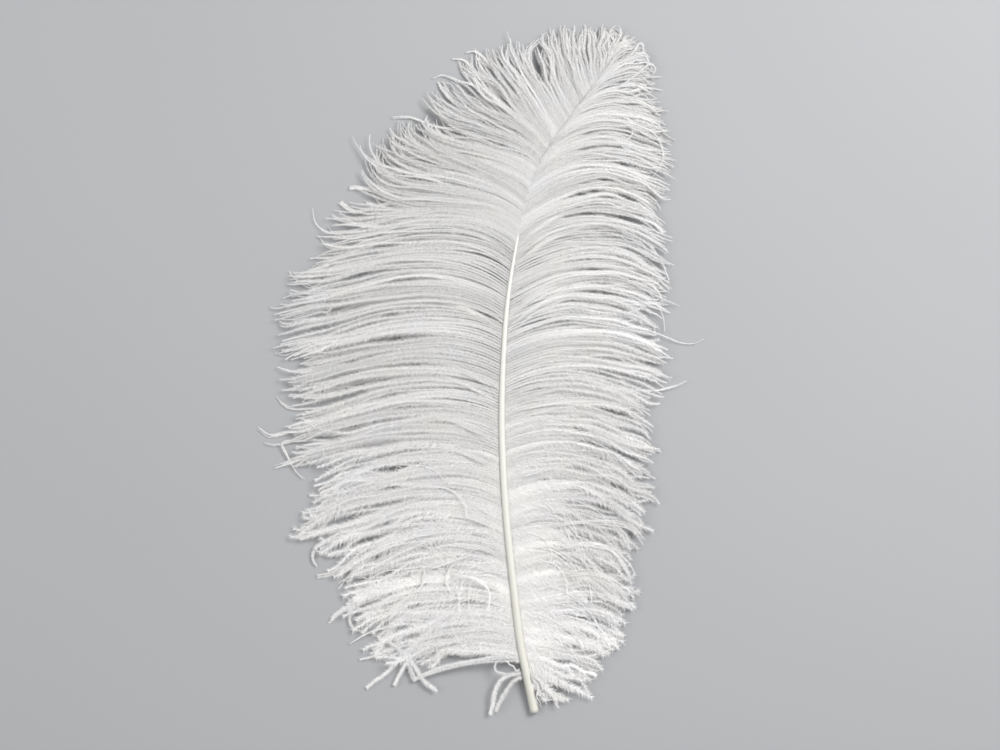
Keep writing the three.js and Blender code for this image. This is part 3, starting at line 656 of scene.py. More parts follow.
def comb_vane(side, low, high, settings, rng):
    """The barbs of one vane whose roots lie between low and high."""
    guides = LEFT_GUIDES if side < 0 else RIGHT_GUIDES
    vane = 0 if side < 0 else 1
    root_y = root_places(low, high, settings.barb_spacing / MM, vane, rng)
    count = len(root_y)
    place = np.interp(root_y, [guide[0] for guide in guides], np.arange(len(guides)))
    place += rng.normal(0, GUIDE_PLAY, count)
    blunt = ramp(root_y, *UNRULY)
    unruly = blunt * (1 - ramp(root_y, *TAME_AGAIN)) if side > 0 else blunt
    stray = rng.random(count) < STRAY_SHARE + UNRULY_STRAYS * unruly
    wander = rng.laplace(0, STRAY_GUIDES, count) * (1 + UNRULY_WANDER * unruly)
    wander = np.where(stray, np.clip(wander, -FARTHEST_STRAY, FARTHEST_STRAY), 0)
    controls = blended_controls(guides, side, place, wander)

    root = shaft_at(root_y)
    closed = ramp(root_y, *CLOSING)
    beside = ROOT_BESIDE * column(SHAFT_BREADTH, root_y, 1) * (1 - closed)
    controls[:, 0, :2] = root[:, :2]
    controls[:, 0, 0] += side * (beside - CLOSED_ROOT * closed)
    scatter = rng.normal(0, settings.tip_scatter / MM, (count, 2))
    controls[:, 4, :2] += scatter
    controls[:, 3, :2] += BEND_SCATTER * scatter + rng.normal(0, BEND_PLAY, (count, 2))
    curl(controls, 1 + UNRULY_CURL * unruly, rng)
    controls[:, :, 2] = root[:, 2:] * HEIGHTS + TIP_HEIGHT * np.linspace(0, 1, len(HEIGHTS))
    controls[:, :, 2] += np.outer(closed, CLOSED_RISE)
    controls[:, :, 2] += np.outer(rng.uniform(0, 1, count), LAYER_RISE)

    ending = 1 - settings.length_play * rng.beta(*LENGTH_SPREAD, count) - STRAY_LOSS * stray
    share = np.linspace(0, 1, STEPS_PER_BARB)[None] * ending[:, None]
    points = bezier(controls, share)
    members = tufts_of(count, TUFT_SIZES, rng)
    tightness = rng.normal(settings.tuft_tightness, TIGHTNESS_PLAY, members.max() + 1)
    gather(points, members, np.clip(tightness, *TIGHTNESS_LIMITS), share)
    sway(points, members, share, settings.sway / MM * (1 + UNRULY_SWAY * unruly[:, None]), rng)
    heed = np.where(stray, STRAY_HEED, rng.uniform(*BARB_HEED, count))
    part(points, heed * (1 + UNRULY_HEED * unruly))
    reach = vane_reach(points, share, vane, blunt, rng)
    tone = vane_tone(side, points, members, rng)
    return Barbs(points, ramus_radius(settings, share, RAMUS_NARROWING), reach, tone)


# How far from the shaft the vanes' arch comes down to the floor.
VANE_REACH = 125


def vane_height(points):
    """Roughly how high the vanes arch over the floor at each x, y."""
    root = shaft_at(points[..., 1])
    return root[..., 2] * (1 - ramp(np.abs(points[..., 0] - root[..., 0]), 0, VANE_REACH))


# Wisps start deep in the vane, come up in their first part and lie over it. Single barbs, which
# spread less than so much, are lifted and lighter, and stand out most where the vane is high.
WISP_EMERGENCE = (0, 0.15)
WISP_DEPTH = 3.0
WISP_LIFT = 2.2
WISP_HEIGHT_PLAY = (0, 1.2)
SINGLE_SPREAD = 0.5
SINGLE_LIFT = 3.2
SINGLE_HIGH = (0, 8)
SINGLE_LIGHT = 0.4

# How freely a wisp's barbs start and end as shares of its spread, how high and how fast they
# ripple in radians along their length, and how their tone rises from its base.
WISP_START_PLAY = 0.8
WISP_END_PLAY = 0.7
RIPPLE_HEIGHT = 0.4
RIPPLE_RUN = (8, 16)
RIPPLE_PHASE = (0, 6)
WISP_TONE = 0.5
WISP_TONE_PLAY = (0, 0.6)
WISP_TONE_RISE = (0, 0.4)

# Barbules of a wisp: their full reach, how far they shorten at its tip, and how much less they do
# so on fluffy wisps, whose reach lies in the last range or over it.
WISP_FULL_REACH = 1.1
WISP_TAPER = (0.75, 1)
THIN_TAPER = 0.75
FLUFFY_RELIEF = 0.6
FLUFFY = (1.3, 1.8)
WISP_NARROWING = 0.5


def comb_wisps(settings, rng):
    """The single barbs and wisps that leave the locks."""
    share = np.linspace(0, 1, STEPS_PER_BARB)
    emerged = ramp(share, *WISP_EMERGENCE)
    found = []
    for copies, spread_out, fluff, passed in WISPS:
        line = smooth_line(passed, STEPS_PER_BARB)
        single = spread_out < SINGLE_SPREAD
        tip_taper = THIN_TAPER - FLUFFY_RELIEF * ramp(fluff, *FLUFFY)
        for _ in range(copies):
            start = rng.normal(0, spread_out, 2)
            end = rng.normal(0, WISP_END_PLAY * spread_out, 2)
            level = line + start * (1 - share[:, None]) * WISP_START_PLAY
            level += end * ramp(share, 0, 1)[:, None]
            rippling = share * rng.uniform(*RIPPLE_RUN) + rng.uniform(*RIPPLE_PHASE)
            level += RIPPLE_HEIGHT * np.sin(rippling)[:, None]
            arch = vane_height(level)
            height = arch + WISP_LIFT * (1 - share) * emerged - WISP_DEPTH * (1 - emerged)
            if single:
                height += SINGLE_LIFT * ramp(arch, *SINGLE_HIGH) * emerged
            height = np.maximum(height + TIP_HEIGHT + rng.uniform(*WISP_HEIGHT_PLAY), 1)
            reach = fluff * (WISP_FULL_REACH - tip_taper * ramp(share, *WISP_TAPER))
            light = rng.uniform(*WISP_TONE_PLAY) + SINGLE_LIGHT * single
            tone = WISP_TONE + light * ramp(share, *WISP_TONE_RISE)
            thickness = ramus_radius(settings, share, WISP_NARROWING)
            found.append((np.column_stack([level, height]), thickness, reach, tone))
    return Barbs(*(np.stack(parts) for parts in zip(*found)))


# A down barb's three stretches as shares of its length, how many degrees the second one turns off
# the vane's flow, and how freely the first and last turn, as shares of the layer's play.
DOWN_STRETCHES = (0.4, 0.35, 0.35)
DOWN_TURN = 18
DOWN_LEAVE_PLAY = 0.5
DOWN_TIP_PLAY = 1.4

# The lowest that down lies, how deep it is rooted, how far it sways as a share of the vane's sway
# and how well it heeds partings. Then its barbules' play and taper, and how fine its barbs are.
DOWN_FLOOR = 1.2
DOWN_ROOT_DEPTH = 0.6
DOWN_SWAY = 0.6
DOWN_HEED = 0.1
DOWN_REACH_PLAY = (0.75, 1.2)
DOWN_TAPER = 0.35
DOWN_FINENESS = 0.65
DOWN_NARROWING = 0.6


def comb_down(side, layer, settings, rng):
    """Loose down barbs at heights above or below the vane, that droop towards their tips."""
    low, high, count, lengths, heights, droop, play, tones, fluffiness = layer
    vane = 0 if side < 0 else 1
    root_y = np.sort(rng.uniform(low, high, count))
    root = shaft_at(root_y)
    leave = column(BARB_RUN, root_y, 1 + vane) + rng.normal(0, DOWN_LEAVE_PLAY * play, count)
    flow = column(BARB_RUN, root_y, 3 + vane) + rng.normal(0, play, count)
    guides = np.array(LEFT_GUIDES if side < 0 else RIGHT_GUIDES, float)
    breadths = np.linalg.norm(guides[:, 1:3] - shaft_at(guides[:, 0])[:, :2], axis=1)
    length = rng.uniform(*lengths, count) * np.interp(root_y, guides[:, 0], breadths)
    stretches = length[:, None, None] * np.array(DOWN_STRETCHES)[:, None]
    first = root[:, :2] + heading(leave) * (side, 1) * stretches[:, 0]
    turned = first + heading(flow + side * DOWN_TURN) * stretches[:, 1]
    drooped = flow - side * droop + rng.normal(0, DOWN_TIP_PLAY * play, count)
    tip = turned + heading(drooped) * stretches[:, 2]
    controls = np.zeros((count, 4, 3))
    for k, level in enumerate((root[:, :2], first, turned, tip)):
        controls[:, k, :2] = level
        over_vane = vane_height(level) + rng.uniform(*heights, count)
        controls[:, k, 2] = np.maximum(over_vane, DOWN_FLOOR)
    controls[:, 0, 2] = root[:, 2] - DOWN_ROOT_DEPTH
    share = np.linspace(0, 1, STEPS_PER_BARB)[None] * np.ones((count, 1))
    points = bezier(controls, share)
    sway(points, np.arange(count), share, DOWN_SWAY * settings.sway / MM, rng)
    part(points, np.full(count, DOWN_HEED))
    full_reach = fluffiness * settings.down_reach / MM * rng.uniform(*DOWN_REACH_PLAY, (count, 1))
    tone = np.repeat(rng.uniform(*tones, (count, 1)), STEPS_PER_BARB, 1)
    radius = DOWN_FINENESS * ramus_radius(settings, share, DOWN_NARROWING)
    return Barbs(points, radius, full_reach * (1 - DOWN_TAPER * share), tone)


# ---------------------------------------------------------------- meshes and node trees

# The sides of a barb's stem, how far a barbule's flat turns over, how its length varies, and the
# least height of everything over the floor.
RAMUS_SIDES = 3
BLADE_TILT = 0.6
BLADE_LENGTHS = (0.7, 1.2)
FLOOR_GAP = 0.05


def add(tree, kind, inputs=None, **settings):
    """Adds a node, sets its properties and links or sets its inputs."""
    node = tree.nodes.new(kind)
    for name, value in settings.items():
        setattr(node, name, value)
    for key, value in (inputs or {}).items():
        if isinstance(value, bpy.types.NodeSocket):
            tree.links.new(value, node.inputs[key])
        else:
            node.inputs[key].default_value = value
    return node


def number(tree, operation, a, b=0.0):
    """One step of arithmetic with numbers."""
    return add(tree, "ShaderNodeMath", {0: a, 1: b}, operation=operation).outputs[0]


def vector(tree, operation, a, b=(0.0, 0.0, 0.0)):
    """One step of arithmetic with vectors."""
    return add(tree, "ShaderNodeVectorMath", {0: a, 1: b}, operation=operation).outputs[0]


def scaled(tree, direction, amount):
    """A vector or colour times a number."""
    inputs = {0: direction, "Scale": amount}
    return add(tree, "ShaderNodeVectorMath", inputs, operation="SCALE").outputs[0]


def combined(tree, **axes):
    """A vector from its X, Y and Z."""
    return add(tree, "ShaderNodeCombineXYZ", axes).outputs[0]


def spread(tree, low, high, seed):
    """A random number between low and high for every point."""
    node = add(tree, "FunctionNodeRandomValue", {2: low, 3: high, "Seed": seed}, data_type="FLOAT")
    return node.outputs[1]


def named(tree, name):
    """A size that the paths carry as an attribute."""
    node = add(tree, "GeometryNodeInputNamedAttribute", {"Name": name}, data_type="FLOAT")
    return node.outputs["Attribute"]


def barbule_blade(tree):
    """A single pointed blade along +X, 1 long and 1 broad at its base, with its X as outward."""
    blade = add(tree, "GeometryNodeMeshCircle", {"Vertices": 3, "Radius": 1.0}, fill_type="NGON")
    from_base = {"Geometry": blade.outputs[0], "Translation": (0.5, 0, 0)}
    based = add(tree, "GeometryNodeTransform", from_base)
    to_unit = {"Geometry": based.outputs[0], "Scale": (1 / 1.5, 1 / math.sqrt(3), 1)}
    sized = add(tree, "GeometryNodeTransform", to_unit)
    position = add(tree, "GeometryNodeInputPosition")
    along = add(tree, "ShaderNodeSeparateXYZ", {0: position.outputs[0]}).outputs["X"]
    kept = {"Geometry": sized.outputs[0], "Name": "outward", "Value": along}
    return add(tree, "GeometryNodeStoreNamedAttribute", kept, data_type="FLOAT", domain="POINT").outputs[0]


def make_barb_tree():
    """Clothes paths with a ramus and with two rows of barbules that sweep towards the tip."""
    tree = bpy.data.node_groups.new("barbs_along_paths", "GeometryNodeTree")
    sockets = [
        ("Paths", "NodeSocketGeometry"),
        ("Barbule Spacing", "NodeSocketFloat"),
        ("Barbule Breadth", "NodeSocketFloat"),
        ("Sweep", "NodeSocketFloat"),
        ("Sweep Play", "NodeSocketFloat"),
        ("Lift Play", "NodeSocketFloat"),
        ("Seed", "NodeSocketInt"),
        ("Material", "NodeSocketMaterial"),
    ]
    for name, kind in sockets:
        tree.interface.new_socket(name, in_out="INPUT", socket_type=kind)
    tree.interface.new_socket("Barbs", in_out="OUTPUT", socket_type="NodeSocketGeometry")
    given = tree.nodes.new("NodeGroupInput").outputs
    paths = add(tree, "GeometryNodeMeshToCurve", {"Mesh": given["Paths"]}).outputs[0]
    paths = add(tree, "GeometryNodeSetCurveNormal", {"Curve": paths}, mode="Z_UP").outputs[0]

    circle = {"Resolution": RAMUS_SIDES, "Radius": 1.0}
    section = add(tree, "GeometryNodeCurvePrimitiveCircle", circle, mode="RADIUS").outputs[0]
    ramus = {"Curve": paths, "Profile Curve": section, "Scale": named(tree, "thickness"), "Fill Caps": True}
    rami = add(tree, "GeometryNodeCurveToMesh", ramus).outputs[0]

    spaced = {"Curve": paths, "Length": given["Barbule Spacing"]}
    beads = add(tree, "GeometryNodeCurveToPoints", spaced, mode="LENGTH")
    run = beads.outputs["Tangent"]
    doubled = {"Geometry": beads.outputs["Points"], "Amount": 2}
    pairs = add(tree, "GeometryNodeDuplicateElements", doubled, domain="POINT")
    row = number(tree, "MULTIPLY", pairs.outputs["Duplicate Index"], 2.0)
    row = number(tree, "SUBTRACT", row, 1.0)
    up = (0.0, 0.0, 1.0)
    across = vector(tree, "NORMALIZE", vector(tree, "CROSS_PRODUCT", up, run))

    seeds = [number(tree, "ADD", given["Seed"], float(k)) for k in range(4)]
    play = number(tree, "MULTIPLY", given["Sweep Play"], spread(tree, -1.0, 1.0, seeds[0]))
    sweep = number(tree, "ADD", given["Sweep"], play)
    lift = number(tree, "MULTIPLY", given["Lift Play"], spread(tree, -1.0, 1.0, seeds[1]))
    swept = number(tree, "SINE", sweep)
    outwards = number(tree, "MULTIPLY", swept, number(tree, "COSINE", lift))
    outwards = number(tree, "MULTIPLY", outwards, row)
    upwards = number(tree, "MULTIPLY", swept, number(tree, "SINE", lift))
    onwards = scaled(tree, run, number(tree, "COSINE", sweep))
    aim = vector(tree, "ADD", onwards, scaled(tree, across, outwards))
    aim = vector(tree, "ADD", aim, combined(tree, Z=upwards))
    tilt = spread(tree, -BLADE_TILT, BLADE_TILT, seeds[2])
    face = vector(tree, "ADD", scaled(tree, across, tilt), up)
    axes = {0: aim, 1: face}
    turn = add(tree, "FunctionNodeAxesToRotation", axes, primary_axis="X", secondary_axis="Z")

    length = number(tree, "MULTIPLY", named(tree, "reach"), spread(tree, *BLADE_LENGTHS, seeds[3]))
    placed = {
        "Points": pairs.outputs[0],
        "Instance": barbule_blade(tree),
        "Rotation": turn.outputs[0],
        "Scale": combined(tree, X=length, Y=given["Barbule Breadth"], Z=1.0),
    }
    barbules = add(tree, "GeometryNodeInstanceOnPoints", placed).outputs[0]

    joined = add(tree, "GeometryNodeJoinGeometry")
    tree.links.new(barbules, joined.inputs[0])
    tree.links.new(rami, joined.inputs[0])
    whole = add(tree, "GeometryNodeRealizeInstances", {0: joined.outputs[0]}).outputs[0]
    finish = {"Geometry": whole, "Material": given["Material"]}
    dressed = add(tree, "GeometryNodeSetMaterial", finish).outputs[0]
    tree.links.new(dressed, tree.nodes.new("NodeGroupOutput").inputs[0])
    return tree


def barb_tree():
    """The node tree that all barbs share, built once."""
    return bpy.data.node_groups.get("barbs_along_paths") or make_barb_tree()


def path_mesh(name, barbs):
    """Open chains of edges, one for each barb, that carry the barb's sizes as attributes."""
    count, steps = barbs.points.shape[:2]
    mesh = bpy.data.meshes.new(name)
    mesh.vertices.add(count * steps)
    mesh.vertices.foreach_set("co", (barbs.points * MM).astype(np.float32).ravel())
    first = (np.arange(count)[:, None] * steps + np.arange(steps - 1)).ravel()
    mesh.edges.add(len(first))
    mesh.edges.foreach_set("vertices", np.column_stack([first, first + 1]).astype(np.int32).ravel())
    sizes = {"thickness": barbs.thickness * MM, "reach": barbs.reach * MM, "tone": barbs.tone}
    for attribute, values in sizes.items():
        layer = mesh.attributes.new(attribute, "FLOAT", "POINT")
        layer.data.foreach_set("value", values.astype(np.float32).ravel())
    mesh.update()
    return mesh


def finish_piece(piece):
    """Lets a finished piece ride with the plume and stand for its solid."""
    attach(piece, BODY)
    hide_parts(NODE)


def clothe(name, barbs, settings, seed, sweep=None):
    """Turns barb paths into one plain mesh of rami and barbules."""
    scratch = bpy.data.objects.new(name + "_paths", path_mesh(name + "_paths", barbs))
    bpy.context.scene.collection.objects.link(scratch)
    tree = barb_tree()
    values = {
        "Barbule Spacing": settings.barbule_spacing,
        "Barbule Breadth": settings.barbule_breadth,
        "Sweep": settings.sweep if sweep is None else sweep,
        "Sweep Play": settings.sweep_play,
        "Lift Play": settings.lift_play,
        "Seed": seed,
        "Material": barb_material(settings),
    }
    modifier = scratch.modifiers.new("barbs", "NODES")
    modifier.node_group = tree
    for item in tree.interface.items_tree:
        if item.item_type == "SOCKET" and item.name in values:
            modifier[item.identifier] = values[item.name]
    depsgraph = bpy.context.evaluated_depsgraph_get()
    mesh = bpy.data.meshes.new_from_object(
        scratch.evaluated_get(depsgraph), preserve_all_data_layers=True, depsgraph=depsgraph)
    scratch.modifiers.clear()
    bpy.data.objects.remove(scratch)
    if not mesh.polygons:
        raise RuntimeError(f"{name}: the node tree made no faces")
    rest_on_floor(mesh)
    mesh.name = name
    piece = bpy.data.objects.new(name, mesh)
    bpy.context.scene.collection.objects.link(piece)
    finish_piece(piece)
    return piece


def rest_on_floor(mesh):
    """Bends what would reach below the floor back onto it."""
    places = np.empty(len(mesh.vertices) * 3, np.float32)
    mesh.vertices.foreach_get("co", places)
    places = places.reshape(-1, 3)
    places[:, 2] = np.maximum(places[:, 2], FLOOR_GAP * MM)
    mesh.vertices.foreach_set("co", places.ravel())
    mesh.update()


# ---------------------------------------------------------------- the shaft

# The quill is round and hollow at its cut end. The bore is so much of its breadth, and so deep.
# Over the range of length that follows, the section grows grooved along its underside, squarer by
# two powers, across and up, and flatter.
SHAFT_RINGS = 180
SHAFT_SIDES = 20
BORE_SHARE = 0.74
HOLLOW_DEPTH = 9
GROOVE_START = (12, 52)
GROOVE_DEPTH = 0.3
GROOVE_BREADTH = 0.28
SQUARING = (0.82, 0.9)
SECTION_HEIGHT = 0.92


def round_section():
    """The corners of a circle of radius 1."""
    turn = np.arange(SHAFT_SIDES) / SHAFT_SIDES * 2 * math.pi
    return np.stack([np.cos(turn), np.sin(turn)], 1)


def grooved_section():
    """The shaft's outline: broad and rounded on top, with a shallow groove along its underside."""
    across, up = round_section().T
    squared = np.sign(across) * np.abs(across)**SQUARING[0]
    rounded = np.sign(up) * np.abs(up)**SQUARING[1] * SECTION_HEIGHT
    groove = GROOVE_DEPTH * np.exp(-(squared / GROOVE_BREADTH)**2) * (up < 0)
    return np.stack([squared, rounded + groove], 1)


def ring(centre, run, section, half):
    """One ring of the shaft round its middle line."""
    across = np.array((run[1], -run[0], 0.0))
    across /= np.linalg.norm(across)
    over = np.cross(across, run)
    return centre + half * (section[:, :1] * across + section[:, 1:] * over)


def make_shaft_mesh(settings):
    """A closed tapering tube with a square cut and a hollow at the quill's end."""
    line = smooth_line(SHAFT_LINE, SHAFT_RINGS)
    run = np.gradient(line, axis=0)
    run /= np.linalg.norm(run, axis=1, keepdims=True)
    scale = settings.quill_diameter / MM / SHAFT_BREADTH[0][1]
    half = column(SHAFT_BREADTH, line[:, 1], 1) * scale / 2
    travelled = lengths_along(line)
    section = grooved_section()
    plain = round_section()
    grooved = ramp(travelled, *GROOVE_START)
    hollow = int(np.searchsorted(travelled, HOLLOW_DEPTH))
    rings, along = [], []
    for i in range(hollow, -1, -1):
        rings.append(ring(line[i], run[i], plain, half[i] * BORE_SHARE))
        along.append(-travelled[i])
    for i in range(SHAFT_RINGS):
        blended = plain * (1 - grooved[i]) + section * grooved[i]
        rings.append(ring(line[i], run[i], blended, half[i]))
        along.append(travelled[i])
    vertices = np.concatenate(rings)
    vertices[:, 2] = np.maximum(vertices[:, 2], FLOOR_GAP)
    sides = SHAFT_SIDES
    last = (len(rings) - 1) * sides
    faces = []
    for low in range(0, last, sides):
        high = low + sides
        for k in range(sides):
            turned = (k + 1) % sides
            faces.append((low + k, low + turned, high + turned, high + k))
    faces.append(tuple(range(sides - 1, -1, -1)))
    faces.append(tuple(range(last, last + sides)))
    mesh = bpy.data.meshes.new("shaft")
    mesh.from_pydata((vertices * MM).tolist(), [], faces)
    lean = mesh.attributes.new("lean", "FLOAT", "POINT")
    lean.data.foreach_set("value", np.tile(plain[:, 0], len(rings)).astype(np.float32))
    uv = mesh.uv_layers.new(name="along_shaft")
    for polygon in mesh.polygons:
        for loop in polygon.loop_indices:
            vertex = mesh.loops[loop].vertex_index
            around = vertex % sides / sides
            uv.data[loop].uv = (along[vertex // sides] * MM, abs(2 * around - 1))
    mesh.shade_smooth()
    mesh.update()
    return mesh


# ---------------------------------------------------------------- materials

# Blotches and fine grain: the detail of each and the range that becomes the shade. For every finish
# their scales and the share of the grain. Streaks are scaled along and round the shaft as well.
NOISE_DETAILS = (2.0, 3.0)
NOISE_RANGE = (0.3, 0.7)
DOWN_GRAIN = (45.0, 900.0, 0.35)
HORN_STREAKS = (1.4, 5.0, 0.5)
HORN_BLOTCHES = (60.0, 400.0, 0.3)
FLOOR_GRAIN = (3.0, 260.0, 0.3)
STREAK_STRETCH = (22.0, 6.0, 1.0)

# How light a barb is at tone 0 and at tone 1, and how far a barbule fades outwards, which it does
# the less the lighter its tone. Then how much light comes through, and its finish.
BARB_LIGHTNESS = (0.735, 0.955)
BARBULE_FADED = 0.7
UNFADED_TONE = 1.2
LIGHT_THROUGH = 0.32
DOWN_ROUGHNESS = (0.62, 0.8)
DOWN_SHEEN = 0.15
DOWN_GLOSS = 0.25

# How pale the horn turns at most, and from where to where along the plume, in metres. How far the side
# where its surface leans left is painted darker and greener, and between which leans: painted shade on
# glassier horn. Then its finish.
HORN_PALING = (0.75, -0.23, 0.1)
HORN_GLASS_AND_SHADE = (0.7, 0.2, -0.3)
HORN_ROUGHNESS = (0.3, 0.46)
HORN_COAT = 0.15
STREAK_RELIEF = 0.25
STREAK_DEPTH = 0.3 * MM

# The floor: how light its mottles are beside the rest of it, and its finish.
FLOOR_MOTTLE = 0.97
FLOOR_ROUGHNESS = 0.9


def mapped(tree, value, start, end, low=0.0, high=1.0, clamp=True):
    """Maps a value between low and high to one between start and end."""
    inputs = {"Value": value, "From Min": low, "From Max": high, "To Min": start, "To Max": end}
    return add(tree, "ShaderNodeMapRange", inputs, clamp=clamp).outputs[0]


def colour(rgb):
    """An opaque colour."""
    return (*rgb, 1.0)


def mixed(tree, factor, first, second):
    """A mix of two colours."""
    inputs = {"Factor": factor, 6: first, 7: second}
    return add(tree, "ShaderNodeMix", inputs, data_type="RGBA").outputs[2]


def carried(tree, name):
    """A value that the mesh carries as an attribute."""
    return add(tree, "ShaderNodeAttribute", attribute_name=name).outputs["Fac"]


def make_grain_group():
    """Soft blotches with a fine grain on them, for every finish of the scene."""
    group = bpy.data.node_groups.new("keratin_grain", "ShaderNodeTree")
    for name, kind in (("Place", "NodeSocketVector"), ("Blotch Scale", "NodeSocketFloat"),
                       ("Grain Scale", "NodeSocketFloat"), ("Grain Share", "NodeSocketFloat")):
        group.interface.new_socket(name, in_out="INPUT", socket_type=kind)
    for name in ("Shade", "Height"):
        group.interface.new_socket(name, in_out="OUTPUT", socket_type="NodeSocketFloat")
    given = group.nodes.new("NodeGroupInput").outputs
    noises = []
    for scale, detail in zip(("Blotch Scale", "Grain Scale"), NOISE_DETAILS):
        inputs = {"Vector": given["Place"], "Scale": given[scale], "Detail": detail}
        noises.append(add(group, "ShaderNodeTexNoise", inputs).outputs[0])
    both = {"Factor": given["Grain Share"], 2: noises[0], 3: noises[1]}
    blended = add(group, "ShaderNodeMix", both, data_type="FLOAT").outputs[0]
    put = group.nodes.new("NodeGroupOutput")
    group.links.new(mapped(group, blended, 0.0, 1.0, *NOISE_RANGE), put.inputs["Shade"])
    group.links.new(noises[1], put.inputs["Height"])
    return group


def grain(tree, place, sizes):
    """The shade and the height of blotches and grain of the given sizes."""
    group = bpy.data.node_groups.get("keratin_grain") or make_grain_group()
    node = add(tree, "ShaderNodeGroup", node_tree=group)
    tree.links.new(place, node.inputs["Place"])
    for name, size in zip(("Blotch Scale", "Grain Scale", "Grain Share"), sizes):
        node.inputs[name].default_value = size
    return node.outputs


def new_material(name):
    """An empty material, and the object's own coordinates in it."""
    material = bpy.data.materials.new(name)
    material.use_nodes = True
    material.node_tree.nodes.clear()
    return material, add(material.node_tree, "ShaderNodeTexCoord").outputs["Object"]


def put_out(tree, shader):
    """Makes a shader the surface of its material."""
    add(tree, "ShaderNodeOutputMaterial", {"Surface": shader.outputs[0]})


def barb_material(settings):
    """Matte white down: a little cooler or warmer in places, and some light shows through."""
    if "white_barbs" in bpy.data.materials:
        return bpy.data.materials["white_barbs"]
    material, place = new_material("white_barbs")
    tree = material.node_tree
    shade = grain(tree, place, DOWN_GRAIN)["Shade"]
    tone = carried(tree, "tone")
    hue = mixed(tree, shade, colour(settings.cool_white), colour(settings.warm_white))
    lightness = mapped(tree, tone, *BARB_LIGHTNESS, clamp=False)
    dull = number(tree, "SUBTRACT", UNFADED_TONE, tone)
    dull = number(tree, "MULTIPLY", carried(tree, "outward"), dull)
    lightness = number(tree, "MULTIPLY", lightness, mapped(tree, dull, 1.0, BARBULE_FADED))
    down = scaled(tree, hue, lightness)
    surface = add(tree, "ShaderNodeBsdfPrincipled", {
        "Base Color": down,
        "Roughness": mapped(tree, shade, *DOWN_ROUGHNESS),
        "Sheen Weight": DOWN_SHEEN,
        "Specular IOR Level": DOWN_GLOSS,
    })
    through = add(tree, "ShaderNodeBsdfTranslucent", {"Color": down})
    shaders = {0: LIGHT_THROUGH, 1: surface.outputs[0], 2: through.outputs[0]}
    put_out(tree, add(tree, "ShaderNodeMixShader", shaders))
    return material


def shaft_material(settings):
    """Ivory horn with fine streaks along it, paler towards the tip, with painted shade on a glassier left
    side.
    """
    material, place = new_material("ivory_shaft")
    tree = material.node_tree
    along = add(tree, "ShaderNodeUVMap", uv_map="along_shaft").outputs[0]
    stretched = add(tree, "ShaderNodeMapping", {"Vector": along, "Scale": STREAK_STRETCH}).outputs[0]
    streaks = grain(tree, stretched, HORN_STREAKS)
    blotches = grain(tree, place, HORN_BLOTCHES)
    horn = mixed(tree, streaks["Shade"], colour(settings.ivory_shade), colour(settings.ivory))
    height = add(tree, "ShaderNodeSeparateXYZ", {0: place}).outputs["Y"]
    younger = mapped(tree, height, 0.0, *HORN_PALING)
    horn = mixed(tree, younger, horn, colour(settings.pale_ivory))
    # Painted shade: the shaft's left side turns darker and greener, on horn that is also glassier there.
    glassy_and_shaded = mapped(tree, carried(tree, "lean"), 0.0, *HORN_GLASS_AND_SHADE)
    horn = mixed(tree, glassy_and_shaded, horn, colour(settings.glassy_shaded_side))
    relief = {"Height": streaks["Height"], "Strength": STREAK_RELIEF, "Distance": STREAK_DEPTH}
    put_out(tree, add(tree, "ShaderNodeBsdfPrincipled", {
        "Base Color": horn,
        "Roughness": mapped(tree, blotches["Shade"], *HORN_ROUGHNESS),
        "Normal": add(tree, "ShaderNodeBump", relief).outputs[0],
        "Coat Weight": HORN_COAT,
    }))
    return material


def floor_material(settings):
    """Plain pale paper, very slightly mottled."""
    material, place = new_material("pale_floor")
    tree = material.node_tree
    shade = grain(tree, place, FLOOR_GRAIN)["Shade"]
    mottled = [channel * FLOOR_MOTTLE for channel in settings.floor_colour]
    tint = mixed(tree, shade, colour(mottled), colour(settings.floor_colour))
    finish = {"Base Color": tint, "Roughness": FLOOR_ROUGHNESS}
    put_out(tree, add(tree, "ShaderNodeBsdfPrincipled", finish))
    return material


# ---------------------------------------------------------------- settings


class PlumeShaftSettings(bpy.types.PropertyGroup):
    quill_diameter: bpy.props.FloatProperty(
        name="Quill Diameter", description="Breadth of the quill at its cut end",
        default=6.0 * MM, unit="LENGTH")
    ivory: bpy.props.FloatVectorProperty(
        name="Ivory", description="Colour of the shaft near the quill",
        default=(0.60, 0.588, 0.545), subtype="COLOR")
    ivory_shade: bpy.props.FloatVectorProperty(
        name="Ivory Streaks", description="Colour of the darker streaks along the shaft",
        default=(0.53, 0.51, 0.44), subtype="COLOR")
    pale_ivory: bpy.props.FloatVectorProperty(
        name="Pale Ivory", description="Colour of the shaft towards the tip",
        default=(0.56, 0.556, 0.532), subtype="COLOR")
    # The left side's colour is painted shade, on horn that is also glassier there.
    glassy_shaded_side: bpy.props.FloatVectorProperty(
        name="Glassy Side", description="Colour of the more glassy left side of the shaft",
        default=(0.45, 0.453, 0.405), subtype="COLOR")


